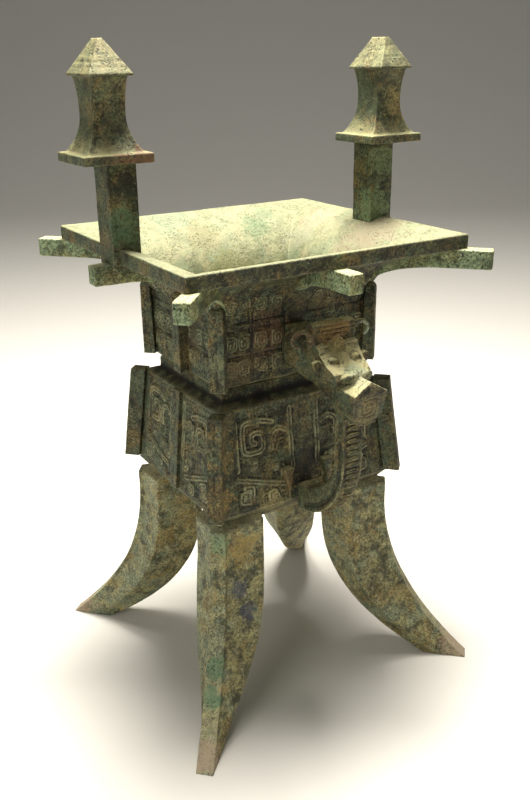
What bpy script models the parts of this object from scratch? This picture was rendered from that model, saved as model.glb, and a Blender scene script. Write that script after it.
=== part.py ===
# Square bronze wine vessel: flared rectangular mouth, two capped posts, one animal-head handle
# and four splayed blade legs, cast in one piece. Metres, +Z up. It is drawn about the middle of its
# rectangular body and then set back, so that the origin is on the floor below the middle of its box.
# The handle faces -Y and the posts stand on the short sides, at -X and +X.
import bpy
import bmesh
from math import cos, hypot, pi, sin
from mathutils import Matrix, Vector

# Heights of the stages, from the floor up
LEG_HEIGHT = 0.127
LEG_LEDGE = 0.007
LEG_SHOULDER = 0.010
BELLY_CHAMFER_HEIGHT = 0.012
BODY_HEIGHT = 0.0705
SHOULDER_HEIGHT = 0.003
GROOVE_HEIGHT = 0.0085
NECK_HEIGHT = 0.040
FLARE_HEIGHT = 0.0393
RIM_BAND = 0.0096

# Outer lengths along X and widths along Y of each stage
BASE_SIZE = (0.119, 0.100)
BODY_LOW_SIZE = (0.138, 0.121)
BODY_TOP_SIZE = (0.125, 0.107)
GROOVE_SIZE = (0.110, 0.090)
NECK_SIZE = (0.114, 0.094)
RIM_SIZE = (0.2032, 0.1872)

# Walls
WALL = 0.004
FLOOR_THICKNESS = 0.005
LIP = 0.003
FLARE_STEPS = 7
MOUTH_STOP_ANGLE = 75

# Upright flanges at the corners and the middle of each side, and the arms they end in
FLANGE_WIDTH = 0.010
NECK_FLANGE_RISE = 0.0066
NECK_FLANGE_HEIGHT = 0.055
NECK_FLANGE_ROUND = 0.0045
CORNER_FLANGE_RISE = 0.0095
SIDE_FLANGE_RISE = 0.0026
ARM_WIDTH = 0.0104
ARM_DEPTH = 0.0125
ARM_CORNER = 0.0025
ARM_RISE = 0.0004
ARM_ARCH = (0.046, 0.0190)
CORNER_ARM_REACH = (0.0095, 0.0135)
SIDE_ARM_REACH = 0.0160

# Legs: a rectangular shaft that thins into a blade, with a strip along its outer corner
LEG_OVERHANG = (0.0105, 0.009)
LEG_SIZE = (0.0365, 0.029)
LEG_SPLAY_OUTER = (0.0424, 0.0506)
LEG_SPLAY_INNER = 0.0566
LEG_OUTER_BEND = 2.2
LEG_INNER_BEND = 2.9
LEG_TAPER = 3.3
LEG_STEPS = 9
STRIP_WIDTH = 0.0118
STRIP_DEPTH = 0.010
STRIP_RISE = 0.0038
TOE_HEIGHT = 0.0038
HEEL_HEIGHT = 0.0060
LEAF_RISE = 0.0010

# Posts and their caps
POST_HEIGHT = 0.0505
POST_SIZE = (0.019, 0.0204)
POST_INSET = 0.0046
POST_FOOT_DROP = 0.0118
CAP_LEAN = 0.0052
SEAM = 0.0003
CAP_PLATE = (0.0440, 0.0416, 0.0057)
CAP_MARGIN = 0.004
CAP_WAIST = (0.0202, 0.0216)
CAP_BELL_HEIGHT = 0.0224
CAP_THROAT_HEIGHT = 0.0190
CAP_ROOF = (0.0270, 0.0356)
ROOF_HEIGHT = 0.0202
ROOF_RIDGE = 0.015
ROOF_RIDGE_WIDTH = 0.0024
ROOF_EAVE = 0.0028
ROOF_COURSES = 5
COURSE_STEP = 0.0005

# Handle on the -Y side. Spans run outward from the body's lower edge, rises up from a stage.
STRAP_WIDTH = 0.014
STRAP_THICKNESS = 0.009
STRAP_FOOT_DEPTH = 0.0180
STRAP_SPAN = 0.0493
STRAP_TURN_RISE = 0.043
STRAP_RIBS = 10
RIB_RISE = 0.0009
RIB_PITCH = 0.0097
RIB_WIDTH = 0.0054
RIB_MARGIN = 0.0012
BEAK_TOP_WIDTH = 0.0250
BEAK_LOW_WIDTH = 0.0190
BEAK_HEIGHT = 0.0215
BEAK_RISE = 0.0115
BEAK_DEPTH = 0.0206
BEAK_OVERHANG = 0.0160
BEAK_LEAN = 0.0045
BEAK_GABLE = 0.0078
HEAD_WIDTH = 0.0312
HEAD_RISE = 0.0145
HEAD_HEIGHT = 0.0320
FOREHEAD_SETBACK = 0.0193
FOREHEAD_DEPTH = 0.0105
MUZZLE_OVERHANG = 0.0024
MUZZLE_DEPTH = 0.0036
MUZZLE_HEIGHT = 0.0084
BROW_RISE = 0.0165
BROW_STEP = 0.0025
THROAT_WIDTH = 0.0170
THROAT_DROP = 0.0085
EYE_SPACING = 0.0176
EYE_RADIUS = 0.0042
EYE_RISE = 0.0120
NOSTRIL_SPACING = 0.0125
NOSTRIL_RADIUS = 0.0030
EAR_SIZE = (0.0062, 0.0092)
EAR_THICKNESS = 0.0036
EAR_RISE = 0.008
HORN_RADIUS = 0.0066
HORN_THICKNESS = 0.0027
HORN_DROP = 0.0075
CREST_SIZE = (0.0084, 0.0110)
RIDGE_COUNT = 3
RIDGE_PITCH = 0.0030
RIDGE_WIDTH = 0.0013

# Relief on the walls. Places run from the wall's middle and up from the stage's foot.
RELIEF_RISE = 0.0016
RELIEF_BAND = 0.0036
MASK_BANDS = {
    "horn": (0.0240, 0.0400, 0.0245, 0.0220),
    "snout": (0.0095, 0.0185, 0.0120, 0.0270),
    "jaw": (0.0250, 0.0050, 0.0300, 0.0160),
    "tail": (0.0530, 0.0300, 0.0034, 0.0300),
}
MASK_EYE = (0.0395, 0.0310)
MASK_EYE_RADII = (0.0058, 0.0046, 0.0032)
SPUR_SIZE = (0.0078, 0.0240)
SPUR_OFFSET = 0.0120
SPUR_RISE = 0.0034
NECK_BAND = 0.0029
NECK_PLACES = (0.0230, 0.0410)
SCROLL_SIZE = (0.0140, 0.0150)
SCROLL_FOOT = 0.0030
BLADE_SIZE = (0.0130, 0.0200)
BLADE_FOOT = 0.0205
EMBED = 0.0015
WELD_DISTANCE = 0.00002

CORNERS = ((-1, -1), (1, -1), (1, 1), (-1, 1))

Z_BASE = LEG_HEIGHT + LEG_LEDGE
Z_EDGE = Z_BASE + BELLY_CHAMFER_HEIGHT
Z_SHAFT = LEG_HEIGHT + LEG_SHOULDER
Z_SHOULDER = Z_EDGE + BODY_HEIGHT
Z_GROOVE = Z_SHOULDER + SHOULDER_HEIGHT
Z_NECK = Z_GROOVE + GROOVE_HEIGHT
Z_FLARE = Z_NECK + NECK_HEIGHT
Z_RIM_LOW = Z_FLARE + FLARE_HEIGHT
Z_RIM = Z_RIM_LOW + RIM_BAND

LEG_OUTER = (BASE_SIZE[0] / 2 + LEG_OVERHANG[0], BASE_SIZE[1] / 2 + LEG_OVERHANG[1])
LEG_INNER = (LEG_OUTER[0] - LEG_SIZE[0], LEG_OUTER[1] - LEG_SIZE[1])
POST_CENTRE = RIM_SIZE[0] / 2 - POST_INSET
Z_STRAP_TURN = Z_EDGE + STRAP_TURN_RISE
STRAP_REACH = BODY_LOW_SIZE[1] / 2 + STRAP_SPAN
Z_BEAK = Z_NECK + BEAK_RISE
Z_HEAD = Z_NECK + HEAD_RISE
Z_CROWN = Z_HEAD + HEAD_HEIGHT
BEAK_FRONT = STRAP_REACH + BEAK_OVERHANG
TOE_REACH = LEG_OUTER[1] + LEG_SPLAY_OUTER[1] + STRIP_WIDTH / 2 * LEG_SPLAY_OUTER[0] / hypot(*LEG_SPLAY_OUTER)
ORIGIN_SHIFT = (BEAK_FRONT - TOE_REACH) / 2
MUZZLE_REACH = STRAP_REACH + MUZZLE_OVERHANG
FOREHEAD_REACH = STRAP_REACH - FOREHEAD_SETBACK
HEAD_BACK = FOREHEAD_REACH - FOREHEAD_DEPTH


# Building blocks

def new_object(name, mesh, collection):
    obj = bpy.data.objects.new(name, mesh)
    collection.objects.link(obj)
    return obj


def loft(name, rings, collection):
    # Skins rings of equal point counts, listed from the bottom up and running counter-clockwise.
    bm = bmesh.new()
    loops = [[bm.verts.new(point) for point in ring] for ring in rings]
    count = len(rings[0])
    for low, high in zip(loops, loops[1:]):
        for i in range(count):
            j = (i + 1) % count
            bm.faces.new((low[i], low[j], high[j], high[i]))
    bm.faces.new(list(reversed(loops[0])))
    bm.faces.new(loops[-1])
    bmesh.ops.recalc_face_normals(bm, faces=bm.faces)
    mesh = bpy.data.meshes.new(name)
    bm.to_mesh(mesh)
    bm.free()
    return new_object(name, mesh, collection)


def rectangle(half_x, half_y, z, centre=(0.0, 0.0)):
    return [(centre[0] + sx * half_x, centre[1] + sy * half_y, z) for sx, sy in CORNERS]


def plate(name, outline, thickness, frame, collection):
    # A flat outline in a frame's local XY plane, thickened evenly along the frame's local Z.
    curve = bpy.data.curves.new(name, "CURVE")
    curve.dimensions = "2D"
    curve.fill_mode = "BOTH"
    curve.extrude = thickness / 2
    spline = curve.splines.new("POLY")
    spline.points.add(len(outline) - 1)
    for point, (x, y) in zip(spline.points, outline):
        point.co = (x, y, 0.0, 1.0)
    spline.use_cyclic_u = True
    shape = bpy.data.objects.new(name, curve)
    collection.objects.link(shape)
    obj = meshed(name, shape, collection)
    obj.data.transform(frame)
    return obj


def tube(name, points, radius, frame, collection):
    # A round bar along points in a frame's local XY plane.
    curve = bpy.data.curves.new(name, "CURVE")
    curve.dimensions = "3D"
    curve.bevel_depth = radius
    curve.bevel_resolution = 1
    curve.use_fill_caps = True
    spline = curve.splines.new("POLY")
    spline.points.add(len(points) - 1)
    for point, (x, y) in zip(spline.points, points):
        point.co = (x, y, 0.0, 1.0)
    shape = bpy.data.objects.new(name, curve)
    collection.objects.link(shape)
    obj = meshed(name, shape, collection)
    obj.data.transform(frame)
    return obj


def meshed(name, shape, collection):
    # Turns a curve object into a welded mesh object in the same place.
    graph = bpy.context.evaluated_depsgraph_get()
    mesh = bpy.data.meshes.new_from_object(shape.evaluated_get(graph))
    matrix = shape.matrix_world.copy()
    bpy.data.objects.remove(shape)
    bm = bmesh.new()
    bm.from_mesh(mesh)
    bmesh.ops.remove_doubles(bm, verts=bm.verts, dist=1e-6)
    bmesh.ops.recalc_face_normals(bm, faces=bm.faces)
    bm.to_mesh(mesh)
    bm.free()
    obj = new_object(name, mesh, collection)
    obj.matrix_world = matrix
    return obj


def dome(name, centre, radii, collection, frame=Matrix.Identity(4)):
    bm = bmesh.new()
    bmesh.ops.create_uvsphere(bm, u_segments=10, v_segments=6, radius=1.0)
    bmesh.ops.scale(bm, vec=radii, verts=bm.verts)
    bmesh.ops.translate(bm, vec=centre, verts=bm.verts)
    mesh = bpy.data.meshes.new(name)
    bm.to_mesh(mesh)
    bm.free()
    mesh.transform(frame)
    return new_object(name, mesh, collection)


def box(name, low, high, collection, frame=Matrix.Identity(4)):
    bm = bmesh.new()
    bmesh.ops.create_cube(bm, size=1.0)
    size = [b - a for a, b in zip(low, high)]
    middle = [(a + b) / 2 for a, b in zip(low, high)]
    bmesh.ops.scale(bm, vec=size, verts=bm.verts)
    bmesh.ops.translate(bm, vec=middle, verts=bm.verts)
    mesh = bpy.data.meshes.new(name)
    bm.to_mesh(mesh)
    bm.free()
    mesh.transform(frame)
    return new_object(name, mesh, collection)


def frame_of(origin, x_axis, y_axis):
    # A local frame whose X and Y run along the given directions, and whose Z is their cross.
    x = Vector(x_axis).normalized()
    y = (Vector(y_axis) - x * Vector(y_axis).dot(x)).normalized()
    z = x.cross(y)
    matrix = Matrix((x, y, z)).transposed().to_4x4()
    matrix.translation = Vector(origin)
    return matrix


def boolean(target, operation, operands):
    modifier = target.modifiers.new(operation.title(), "BOOLEAN")
    modifier.operation = operation
    modifier.solver = "EXACT"
    modifier.operand_type = "COLLECTION"
    modifier.collection = operands


# Shell: outside, and the hollow inside

def flare_curve(from_half, to_half, z_low, z_high, stop_angle):
    # Quarter-ellipse sweep from an upright wall out to a rim, cut off at stop_angle degrees.
    stop = stop_angle * pi / 180
    for i in range(FLARE_STEPS + 1):
        angle = stop * i / FLARE_STEPS
        out = (1 - cos(angle)) / (1 - cos(stop))
        up = sin(angle) / sin(stop)
        yield between(from_half, to_half, out) + [z_low + (z_high - z_low) * up]


def halves(size, inset=0.0):
    return [side / 2 - inset for side in size]


def between(start, end, share):
    return [a + (b - a) * share for a, b in zip(start, end)]


def make_outside(collection):
    levels = [
        halves(BASE_SIZE) + [Z_BASE],
        halves(BODY_LOW_SIZE) + [Z_EDGE],
        halves(BODY_TOP_SIZE) + [Z_SHOULDER],
        halves(GROOVE_SIZE) + [Z_GROOVE],
        halves(GROOVE_SIZE) + [Z_NECK],
        halves(NECK_SIZE) + [Z_NECK + NECK_FLANGE_RISE / 4],
    ]
    levels += flare_curve(halves(NECK_SIZE), halves(RIM_SIZE), Z_FLARE, Z_RIM_LOW, 90)
    levels.append(halves(RIM_SIZE) + [Z_RIM])
    return loft("vessel", [rectangle(x, y, z) for x, y, z in levels], collection)


def make_hollow(collection):
    levels = [
        halves(BASE_SIZE, WALL) + [Z_BASE + FLOOR_THICKNESS],
        halves(BODY_LOW_SIZE, WALL) + [Z_EDGE + WALL / 4],
        halves(BODY_TOP_SIZE, WALL) + [Z_SHOULDER - WALL / 2],
        halves(GROOVE_SIZE, WALL) + [Z_GROOVE],
        halves(GROOVE_SIZE, WALL) + [Z_NECK],
        halves(NECK_SIZE, WALL) + [Z_NECK + WALL],
    ]
    levels += flare_curve(halves(NECK_SIZE, WALL), halves(RIM_SIZE, LIP), Z_FLARE, Z_RIM, MOUTH_STOP_ANGLE)
    levels.append(halves(RIM_SIZE, LIP) + [Z_RIM + WALL])
    return loft("hollow", [rectangle(x, y, z) for x, y, z in levels], collection)


# Flanges and arms

def neck_flange_outline():
    # Side outline of a neck flange with a rounded top: x outward from the wall, y is height.
    foot = Z_NECK + NECK_FLANGE_RISE / 4
    top = Z_NECK + NECK_FLANGE_HEIGHT
    points = [(-WALL / 2, foot), (NECK_FLANGE_RISE, foot)]
    for i in range(5):
        angle = pi / 2 * i / 4
        out = NECK_FLANGE_RISE - NECK_FLANGE_ROUND * (1 - cos(angle))
        points.append((out, top - NECK_FLANGE_ROUND * (1 - sin(angle))))
    points.append((-WALL / 2, top))
    return points


def arm_outline(run):
    # Side outline of an arm that arches out under the flare and ends square past the rim.
    inside = -WALL / 2
    z_top = Z_RIM_LOW + ARM_RISE
    z_under = z_top - ARM_DEPTH
    arch_length, arch_height = ARM_ARCH
    points = []
    for i in range(6):
        angle = pi / 2 * i / 5
        out = inside + arch_length * (1 - cos(angle))
        points.append((out, z_under - arch_height * (1 - sin(angle))))
    points += [(run - ARM_CORNER, z_under), (run, z_under + ARM_CORNER), (run, z_top), (inside, z_top)]
    return points


def side_flange_outline(lean):
    # Side outline of a flange on the body's wall: x outward from the wall at its foot, y is height.
    foot = Z_EDGE + SIDE_FLANGE_RISE / 4
    inside = -WALL / 2
    low = [(inside, foot), (SIDE_FLANGE_RISE, foot)]
    return low + [(SIDE_FLANGE_RISE - lean, Z_SHOULDER), (inside - lean, Z_SHOULDER)]


def flange_ring(point, outward):
    # Level section of a corner flange, from inside the wall to its outer face.
    across = Vector((-outward.y, outward.x, 0.0)) * FLANGE_WIDTH / 2
    inner = point - outward * WALL / 2
    outer = point + outward * CORNER_FLANGE_RISE
    return [inner + across, inner - across, outer - across, outer + across]


def make_corner_flanges(collection):
    neck = halves(NECK_SIZE)
    rim = halves(RIM_SIZE)
    low = halves(BODY_LOW_SIZE)
    top = halves(BODY_TOP_SIZE)
    step = (rim[0] - neck[0] + CORNER_ARM_REACH[0], rim[1] - neck[1] + CORNER_ARM_REACH[1])
    run = hypot(*step)
    for number, (sx, sy) in enumerate(CORNERS, 1):
        outward = Vector((sx * step[0], sy * step[1], 0.0))
        frame = frame_of((sx * neck[0], sy * neck[1], 0.0), outward, (0, 0, 1))
        plate(f"corner_arm_{number}", arm_outline(run), ARM_WIDTH, frame, collection)
        outward = Vector((sx, sy, 0.0))
        frame = frame_of((sx * neck[0], sy * neck[1], 0.0), outward, (0, 0, 1))
        plate(f"neck_flange_{number}", neck_flange_outline(), FLANGE_WIDTH, frame, collection)

        # The body's flange follows the wall's corner line from its foot to its top
        foot = Vector((sx * low[0], sy * low[1], Z_EDGE + CORNER_FLANGE_RISE / 4))
        head = Vector((sx * top[0], sy * top[1], Z_SHOULDER))
        rings = [flange_ring(point, outward.normalized()) for point in (foot, head)]
        loft(f"corner_flange_{number}", rings, collection)


def make_side_flanges(collection):
    # One in the middle of each side. The handle takes the place of the body flange at -Y.
    neck = halves(NECK_SIZE)
    rim = halves(RIM_SIZE)
    low = halves(BODY_LOW_SIZE)
    top = halves(BODY_TOP_SIZE)
    for name, side, axis in (("left", -1, 0), ("right", 1, 0), ("front", -1, 1), ("back", 1, 1)):
        outward = Vector((side, 0, 0)) if axis == 0 else Vector((0, side, 0))
        frame = frame_of(outward * neck[axis], outward, (0, 0, 1))
        run = rim[axis] - neck[axis] + SIDE_ARM_REACH
        plate(f"{name}_arm", arm_outline(run), ARM_WIDTH, frame, collection)
        if name == "front":
            continue
        plate(f"{name}_neck_flange", neck_flange_outline(), FLANGE_WIDTH * 0.9, frame, collection)
        frame = frame_of(outward * low[axis], outward, (0, 0, 1))
        outline = side_flange_outline(low[axis] - top[axis])
        plate(f"{name}_flange", outline, FLANGE_WIDTH, frame, collection)


# Legs

def leg_drop(z):
    # 0 at the leg's top and 1 at the floor.
    return max(0.0, 1.0 - z / LEG_HEIGHT)


def leg_outer(z):
    bend = leg_drop(z) ** LEG_OUTER_BEND
    return Vector(LEG_OUTER) + Vector(LEG_SPLAY_OUTER) * bend


def leg_inner(z):
    bend = leg_drop(z) ** LEG_INNER_BEND
    return Vector(LEG_INNER) + Vector((LEG_SPLAY_INNER, LEG_SPLAY_INNER)) * bend


def leg_ring(z):
    # Section of the shaft at one height: strip side outward, two side corners, blunt inner edge,
    # and a low leaf ridge down the middle of both outer faces.
    outer = leg_outer(z)
    inner = leg_inner(z)
    along = (outer - inner).normalized()
    across = Vector((-along.y, along.x))
    middle = (outer + inner) / 2
    corner_left = Vector((inner.x, outer.y))
    corner_right = Vector((outer.x, inner.y))
    full = abs((corner_left - middle).dot(across))
    drop = leg_drop(z) ** LEG_TAPER
    half = STRIP_WIDTH / 2 * 0.96
    keep = (half + (full - half) * (1 - drop)) / full
    edge = half * (0.3 + 0.7 * drop)
    outer = outer - along * STRIP_RISE
    left = middle + (corner_left - middle) * keep
    right = middle + (corner_right - middle) * keep
    leaf = LEAF_RISE * (1 - drop)
    outer_left = outer + across * half
    outer_right = outer - across * half
    return [
        inner - across * edge,
        right,
        (right + outer_right) / 2 + (along - across).normalized() * leaf,
        outer_right,
        outer_left,
        (left + outer_left) / 2 + (along + across).normalized() * leaf,
        left,
        inner + across * edge,
    ]


def make_leg(number, sx, sy, collection):
    def place(points, z):
        ring = [(sx * point.x, sy * point.y, z) for point in points]
        return ring if sx * sy > 0 else list(reversed(ring))

    toe = TOE_HEIGHT / 2
    heights = [toe + (LEG_HEIGHT - toe) * (i / LEG_STEPS) ** 1.3 for i in range(LEG_STEPS + 1)]
    rings = [place(leg_ring(z), z) for z in heights]

    # The shaft stands up beside the belly, then a short ledge draws in to the belly's slope.
    rings.append(place(leg_ring(Z_SHAFT), Z_SHAFT))
    z_root = Z_SHAFT + LEG_LEDGE / 2
    slope = (z_root - Z_BASE) / BELLY_CHAMFER_HEIGHT
    limit = Vector(between(halves(BASE_SIZE), halves(BODY_LOW_SIZE), slope)) - Vector((EMBED, EMBED))
    root = [Vector((min(point.x, limit.x), min(point.y, limit.y))) for point in leg_ring(Z_SHAFT)]
    rings.append(place(root, z_root))
    loft(f"leg_shaft_{number}", rings, collection)

    # The strip and the toe share one outline in the upright plane of the outer edge.
    start = Vector(LEG_OUTER)
    splay = Vector(LEG_SPLAY_OUTER)
    reach = splay.length
    direction = splay.normalized()
    front = [(0.0, Z_SHAFT)]
    back = [(-STRIP_DEPTH, Z_SHAFT)]
    for i in range(LEG_STEPS + 1):
        z = TOE_HEIGHT + (LEG_HEIGHT - TOE_HEIGHT) * (1 - i / LEG_STEPS)
        out = reach * leg_drop(z) ** LEG_OUTER_BEND
        front.append((out, z))
        back.append((out - STRIP_DEPTH, max(z, HEEL_HEIGHT + EMBED)))
    toe_points = [(reach, 0.0)]
    for z in (0.0, HEEL_HEIGHT / 3, HEEL_HEIGHT):
        lifted = max(z, HEEL_HEIGHT / 3)
        toe_points.append(((leg_inner(lifted) - start).dot(direction), z))
    outline = front + toe_points + list(reversed(back))
    outward = Vector((sx * splay.x, sy * splay.y, 0.0))
    frame = frame_of((sx * start.x, sy * start.y, 0.0), outward, (0, 0, 1))
    plate(f"leg_strip_{number}", outline, STRIP_WIDTH, frame, collection)


# Posts and caps

def make_post(name, side, collection):
    half_x, half_y = halves(POST_SIZE)
    foot = Z_RIM - POST_FOOT_DROP
    head = Z_RIM + POST_HEIGHT
    centre = (side * POST_CENTRE, 0.0)
    bottom = rectangle(half_x, half_y, foot, centre)
    loft(f"{name}_post", [bottom, rectangle(half_x, half_y, head + EMBED, centre)], collection)

    lean = side * (POST_CENTRE + CAP_LEAN)
    centre = (lean, 0.0)
    base = halves(CAP_PLATE[:2])
    levels = [base + [head], base + [head + CAP_PLATE[2]]]
    bell = halves(CAP_PLATE[:2], CAP_MARGIN)
    waist = halves(CAP_WAIST)
    z_bell = head + CAP_PLATE[2] + SEAM
    z_waist = z_bell + CAP_BELL_HEIGHT
    z_roof = z_waist + CAP_THROAT_HEIGHT
    for i in range(5):
        t = i / 4
        levels.append(between(waist, bell, (1 - t) ** 2.4) + [z_bell + CAP_BELL_HEIGHT * t])
    roof = halves(CAP_ROOF)
    eave = halves(CAP_ROOF, ROOF_EAVE)
    for i in range(1, 4):
        t = i / 3
        levels.append(between(waist, eave, t ** 2.2) + [z_waist + CAP_THROAT_HEIGHT * t])
    ridge = (ROOF_RIDGE_WIDTH / 2, ROOF_RIDGE / 2)
    for i in range(ROOF_COURSES):
        for edge, step in ((i / ROOF_COURSES, COURSE_STEP), ((i + 0.86) / ROOF_COURSES, 0.0)):
            x, y = between(roof, ridge, edge)
            levels.append([x + step, y + step, z_roof + SEAM + (ROOF_HEIGHT - SEAM) * edge])
    levels.append((ridge[0], ridge[1], z_roof + ROOF_HEIGHT))
    loft(f"{name}_cap", [rectangle(x, y, z, centre) for x, y, z in levels], collection)


# Handle

def handle_frame(x=0.0):
    # Local X runs outward along -Y and local Y up, so outlines are drawn in side view.
    return frame_of((x, 0.0, 0.0), (0, -1, 0), (0, 0, 1))


def strap_arc():
    # Middle and radius of the strap's outer arc, in side view.
    radius = STRAP_SPAN + EMBED
    return STRAP_REACH - radius, radius


def strap_outline():
    neck = NECK_SIZE[1] / 2
    middle, outer_radius = strap_arc()
    inner_reach = outer_radius - STRAP_THICKNESS - EMBED
    inner_drop = outer_radius - STRAP_FOOT_DEPTH
    steps = 7
    outer = []
    inner = []
    for i in range(steps + 1):
        angle = pi / 2 * i / steps
        outer.append((middle + outer_radius * cos(angle), Z_STRAP_TURN - outer_radius * sin(angle)))
        inner.append((middle + inner_reach * cos(angle), Z_STRAP_TURN - inner_drop * sin(angle)))
    inner_face = STRAP_REACH - STRAP_THICKNESS
    arch = []
    arch_low = Z_BEAK - BEAK_HEIGHT
    arch_high = Z_NECK + NECK_FLANGE_RISE
    arch_in = neck + NECK_FLANGE_RISE
    for i in range(5):
        angle = pi / 2 * i / 4
        out = arch_in + (inner_face - arch_in) * cos(angle)
        arch.append((out, arch_low + (arch_high - arch_low) * sin(angle)))
    top = Z_HEAD + MUZZLE_HEIGHT / 2
    inside = neck - EMBED
    return outer + list(reversed(inner)) + arch + [(inside, arch_high), (inside, top), (STRAP_REACH, top)]


def make_strap(collection):
    # The strap, with ribs across its outer face from the beak down to the body.
    plate("strap", strap_outline(), STRAP_WIDTH, handle_frame(), collection)
    middle, radius = strap_arc()
    straight = Z_BEAK - BEAK_HEIGHT - Z_STRAP_TURN
    half = STRAP_WIDTH / 2 - RIB_MARGIN
    for i in range(STRAP_RIBS):
        travel = RIB_PITCH * (i + 0.5)
        angle = max(0.0, (travel - straight) / radius)
        z = Z_STRAP_TURN + max(0.0, straight - travel)
        origin = (0.0, -(middle + radius * cos(angle)), z - radius * sin(angle))
        frame = frame_of(origin, (1, 0, 0), (0, -sin(angle), cos(angle)))
        low = (-half, -RIB_WIDTH / 2, -EMBED)
        high = (half, RIB_WIDTH / 2, RIB_RISE)
        box(f"strap_rib_{i}", low, high, collection, frame)


def make_beak(collection):
    # A block with a gabled top and sides that draw in, seen from the front. It leans back downward.
    top_half = BEAK_TOP_WIDTH / 2
    low_half = BEAK_LOW_WIDTH / 2
    profile = [
        (0.0, BEAK_HEIGHT + BEAK_GABLE),
        (-top_half, BEAK_HEIGHT),
        (-(top_half * 0.35 + low_half * 0.65), BEAK_HEIGHT * 0.28),
        (-low_half * 0.62, 0.0),
        (low_half * 0.62, 0.0),
        (top_half * 0.35 + low_half * 0.65, BEAK_HEIGHT * 0.28),
        (top_half, BEAK_HEIGHT),
    ]

    def ring(reach, share):
        points = []
        for x, up in profile:
            lean = BEAK_LEAN * max(0.0, 1 - up / BEAK_HEIGHT)
            points.append((x * share, -(reach - lean), Z_BEAK - BEAK_HEIGHT + up))
        return points

    loft("beak", [ring(BEAK_FRONT - BEAK_DEPTH, 0.86), ring(BEAK_FRONT, 1.0)], collection)


def make_head(collection):
    neck = NECK_SIZE[1] / 2
    nape = HEAD_BACK + FOREHEAD_DEPTH / 2
    z_throat = Z_CROWN - THROAT_DROP
    throat = [
        (neck - EMBED, Z_NECK + STRAP_THICKNESS),
        (nape, Z_HEAD - EMBED),
        (nape, z_throat + EMBED),
        (neck - EMBED, z_throat),
    ]
    plate("throat", throat, THROAT_WIDTH, handle_frame(), collection)

    # Side view of the head: muzzle low and forward, brow stepped, forehead upright at the back
    brow = FOREHEAD_REACH + BROW_STEP
    z_brow = Z_HEAD + BROW_RISE
    z_muzzle = Z_HEAD + MUZZLE_HEIGHT
    side_view = [
        (HEAD_BACK + FOREHEAD_DEPTH, Z_HEAD - EMBED),
        (STRAP_REACH - EMBED, Z_HEAD - EMBED),
        (MUZZLE_REACH, Z_HEAD + EMBED),
        (MUZZLE_REACH, z_muzzle - EMBED),
        (MUZZLE_REACH - MUZZLE_DEPTH, z_muzzle),
        (brow + MUZZLE_DEPTH, (z_muzzle + z_brow) / 2),
        (brow, z_brow),
        (brow, z_brow + BROW_STEP),
        (FOREHEAD_REACH, z_brow + BROW_STEP + EMBED),
        (FOREHEAD_REACH, Z_CROWN),
        (HEAD_BACK + EMBED, Z_CROWN),
        (HEAD_BACK, z_throat),
    ]
    plate("head", side_view, HEAD_WIDTH, handle_frame(), collection)

    z_bar = Z_HEAD + MUZZLE_HEIGHT / 2
    bar_half = HEAD_WIDTH / 2 - SEAM
    dome("muzzle", (0.0, -MUZZLE_REACH, z_bar), (bar_half, MUZZLE_DEPTH, MUZZLE_HEIGHT / 2), collection)
    for side in (-1, 1):
        nostril = (side * NOSTRIL_SPACING / 2, -(MUZZLE_REACH + MUZZLE_DEPTH / 2), z_bar + SEAM)
        dome("nostril", nostril, (NOSTRIL_RADIUS, NOSTRIL_RADIUS, NOSTRIL_RADIUS * 0.8), collection)
        slope = (MUZZLE_REACH - MUZZLE_DEPTH + brow) / 2
        eye = (side * EYE_SPACING / 2, -slope, Z_HEAD + EYE_RISE)
        dome("eye", eye, (EYE_RADIUS, EYE_RADIUS * 0.8, EYE_RADIUS * 0.8), collection)

        # Ears stand out beside the eyes
        wide, tall = EAR_SIZE
        ear = [(0, 0), (wide * 0.84, tall * 0.35), (wide, tall * 0.85), (wide / 2, tall), (0, tall * 0.72)]
        origin = (side * (HEAD_WIDTH / 2 - EMBED / 2), -brow, Z_HEAD + EAR_RISE)
        plate("ear", mirrored(ear, side), EAR_THICKNESS, frame_of(origin, (1, 0, 0), (0, 0, 1)), collection)

        # Horns: C scrolls that open downward, facing forward, beside the forehead
        steps = 8
        horn = []
        for i in range(steps + 1):
            angle = pi * (1.25 - 1.55 * i / steps)
            radius = HORN_RADIUS * (1.0 - 0.28 * i / steps)
            horn.append((side * radius * cos(angle), radius * sin(angle)))
        horn_x = side * (HEAD_WIDTH + HORN_RADIUS) / 2
        origin = (horn_x, -(FOREHEAD_REACH + HEAD_BACK) / 2, Z_CROWN - HORN_DROP)
        tube("horn", horn, HORN_THICKNESS, frame_of(origin, (1, 0, 0), (0, 0, 1)), collection)

    # Forehead: ridges across and a diamond crest over the brow
    z_ridge = z_brow + BROW_STEP + 2 * EMBED
    half = HEAD_WIDTH / 2 - EMBED
    for i in range(RIDGE_COUNT):
        low = (-half, -(FOREHEAD_REACH + RIB_RISE), z_ridge + RIDGE_PITCH * i)
        high = (half, -(FOREHEAD_REACH - EMBED), z_ridge + RIDGE_PITCH * i + RIDGE_WIDTH)
        box(f"forehead_ridge_{i}", low, high, collection)
    wide, tall = halves(CREST_SIZE)
    crest = [(0.0, tall), (-wide, 0.0), (0.0, -tall), (wide, 0.0)]
    origin = (0.0, -brow, z_brow + BROW_STEP)
    plate("crest", crest, BROW_STEP + SEAM, frame_of(origin, (1, 0, 0), (0, 0, 1)), collection)


# Relief

def hook_outline(width, height, band):
    # A square hook: one upright, one bar at its top and a short return, drawn from the lower left.
    return [
        (0, 0), (band, 0), (band, height - band), (width - band, height - band),
        (width - band, height - band * 2.4), (width, height - band * 2.4), (width, height), (0, height),
    ]


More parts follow.
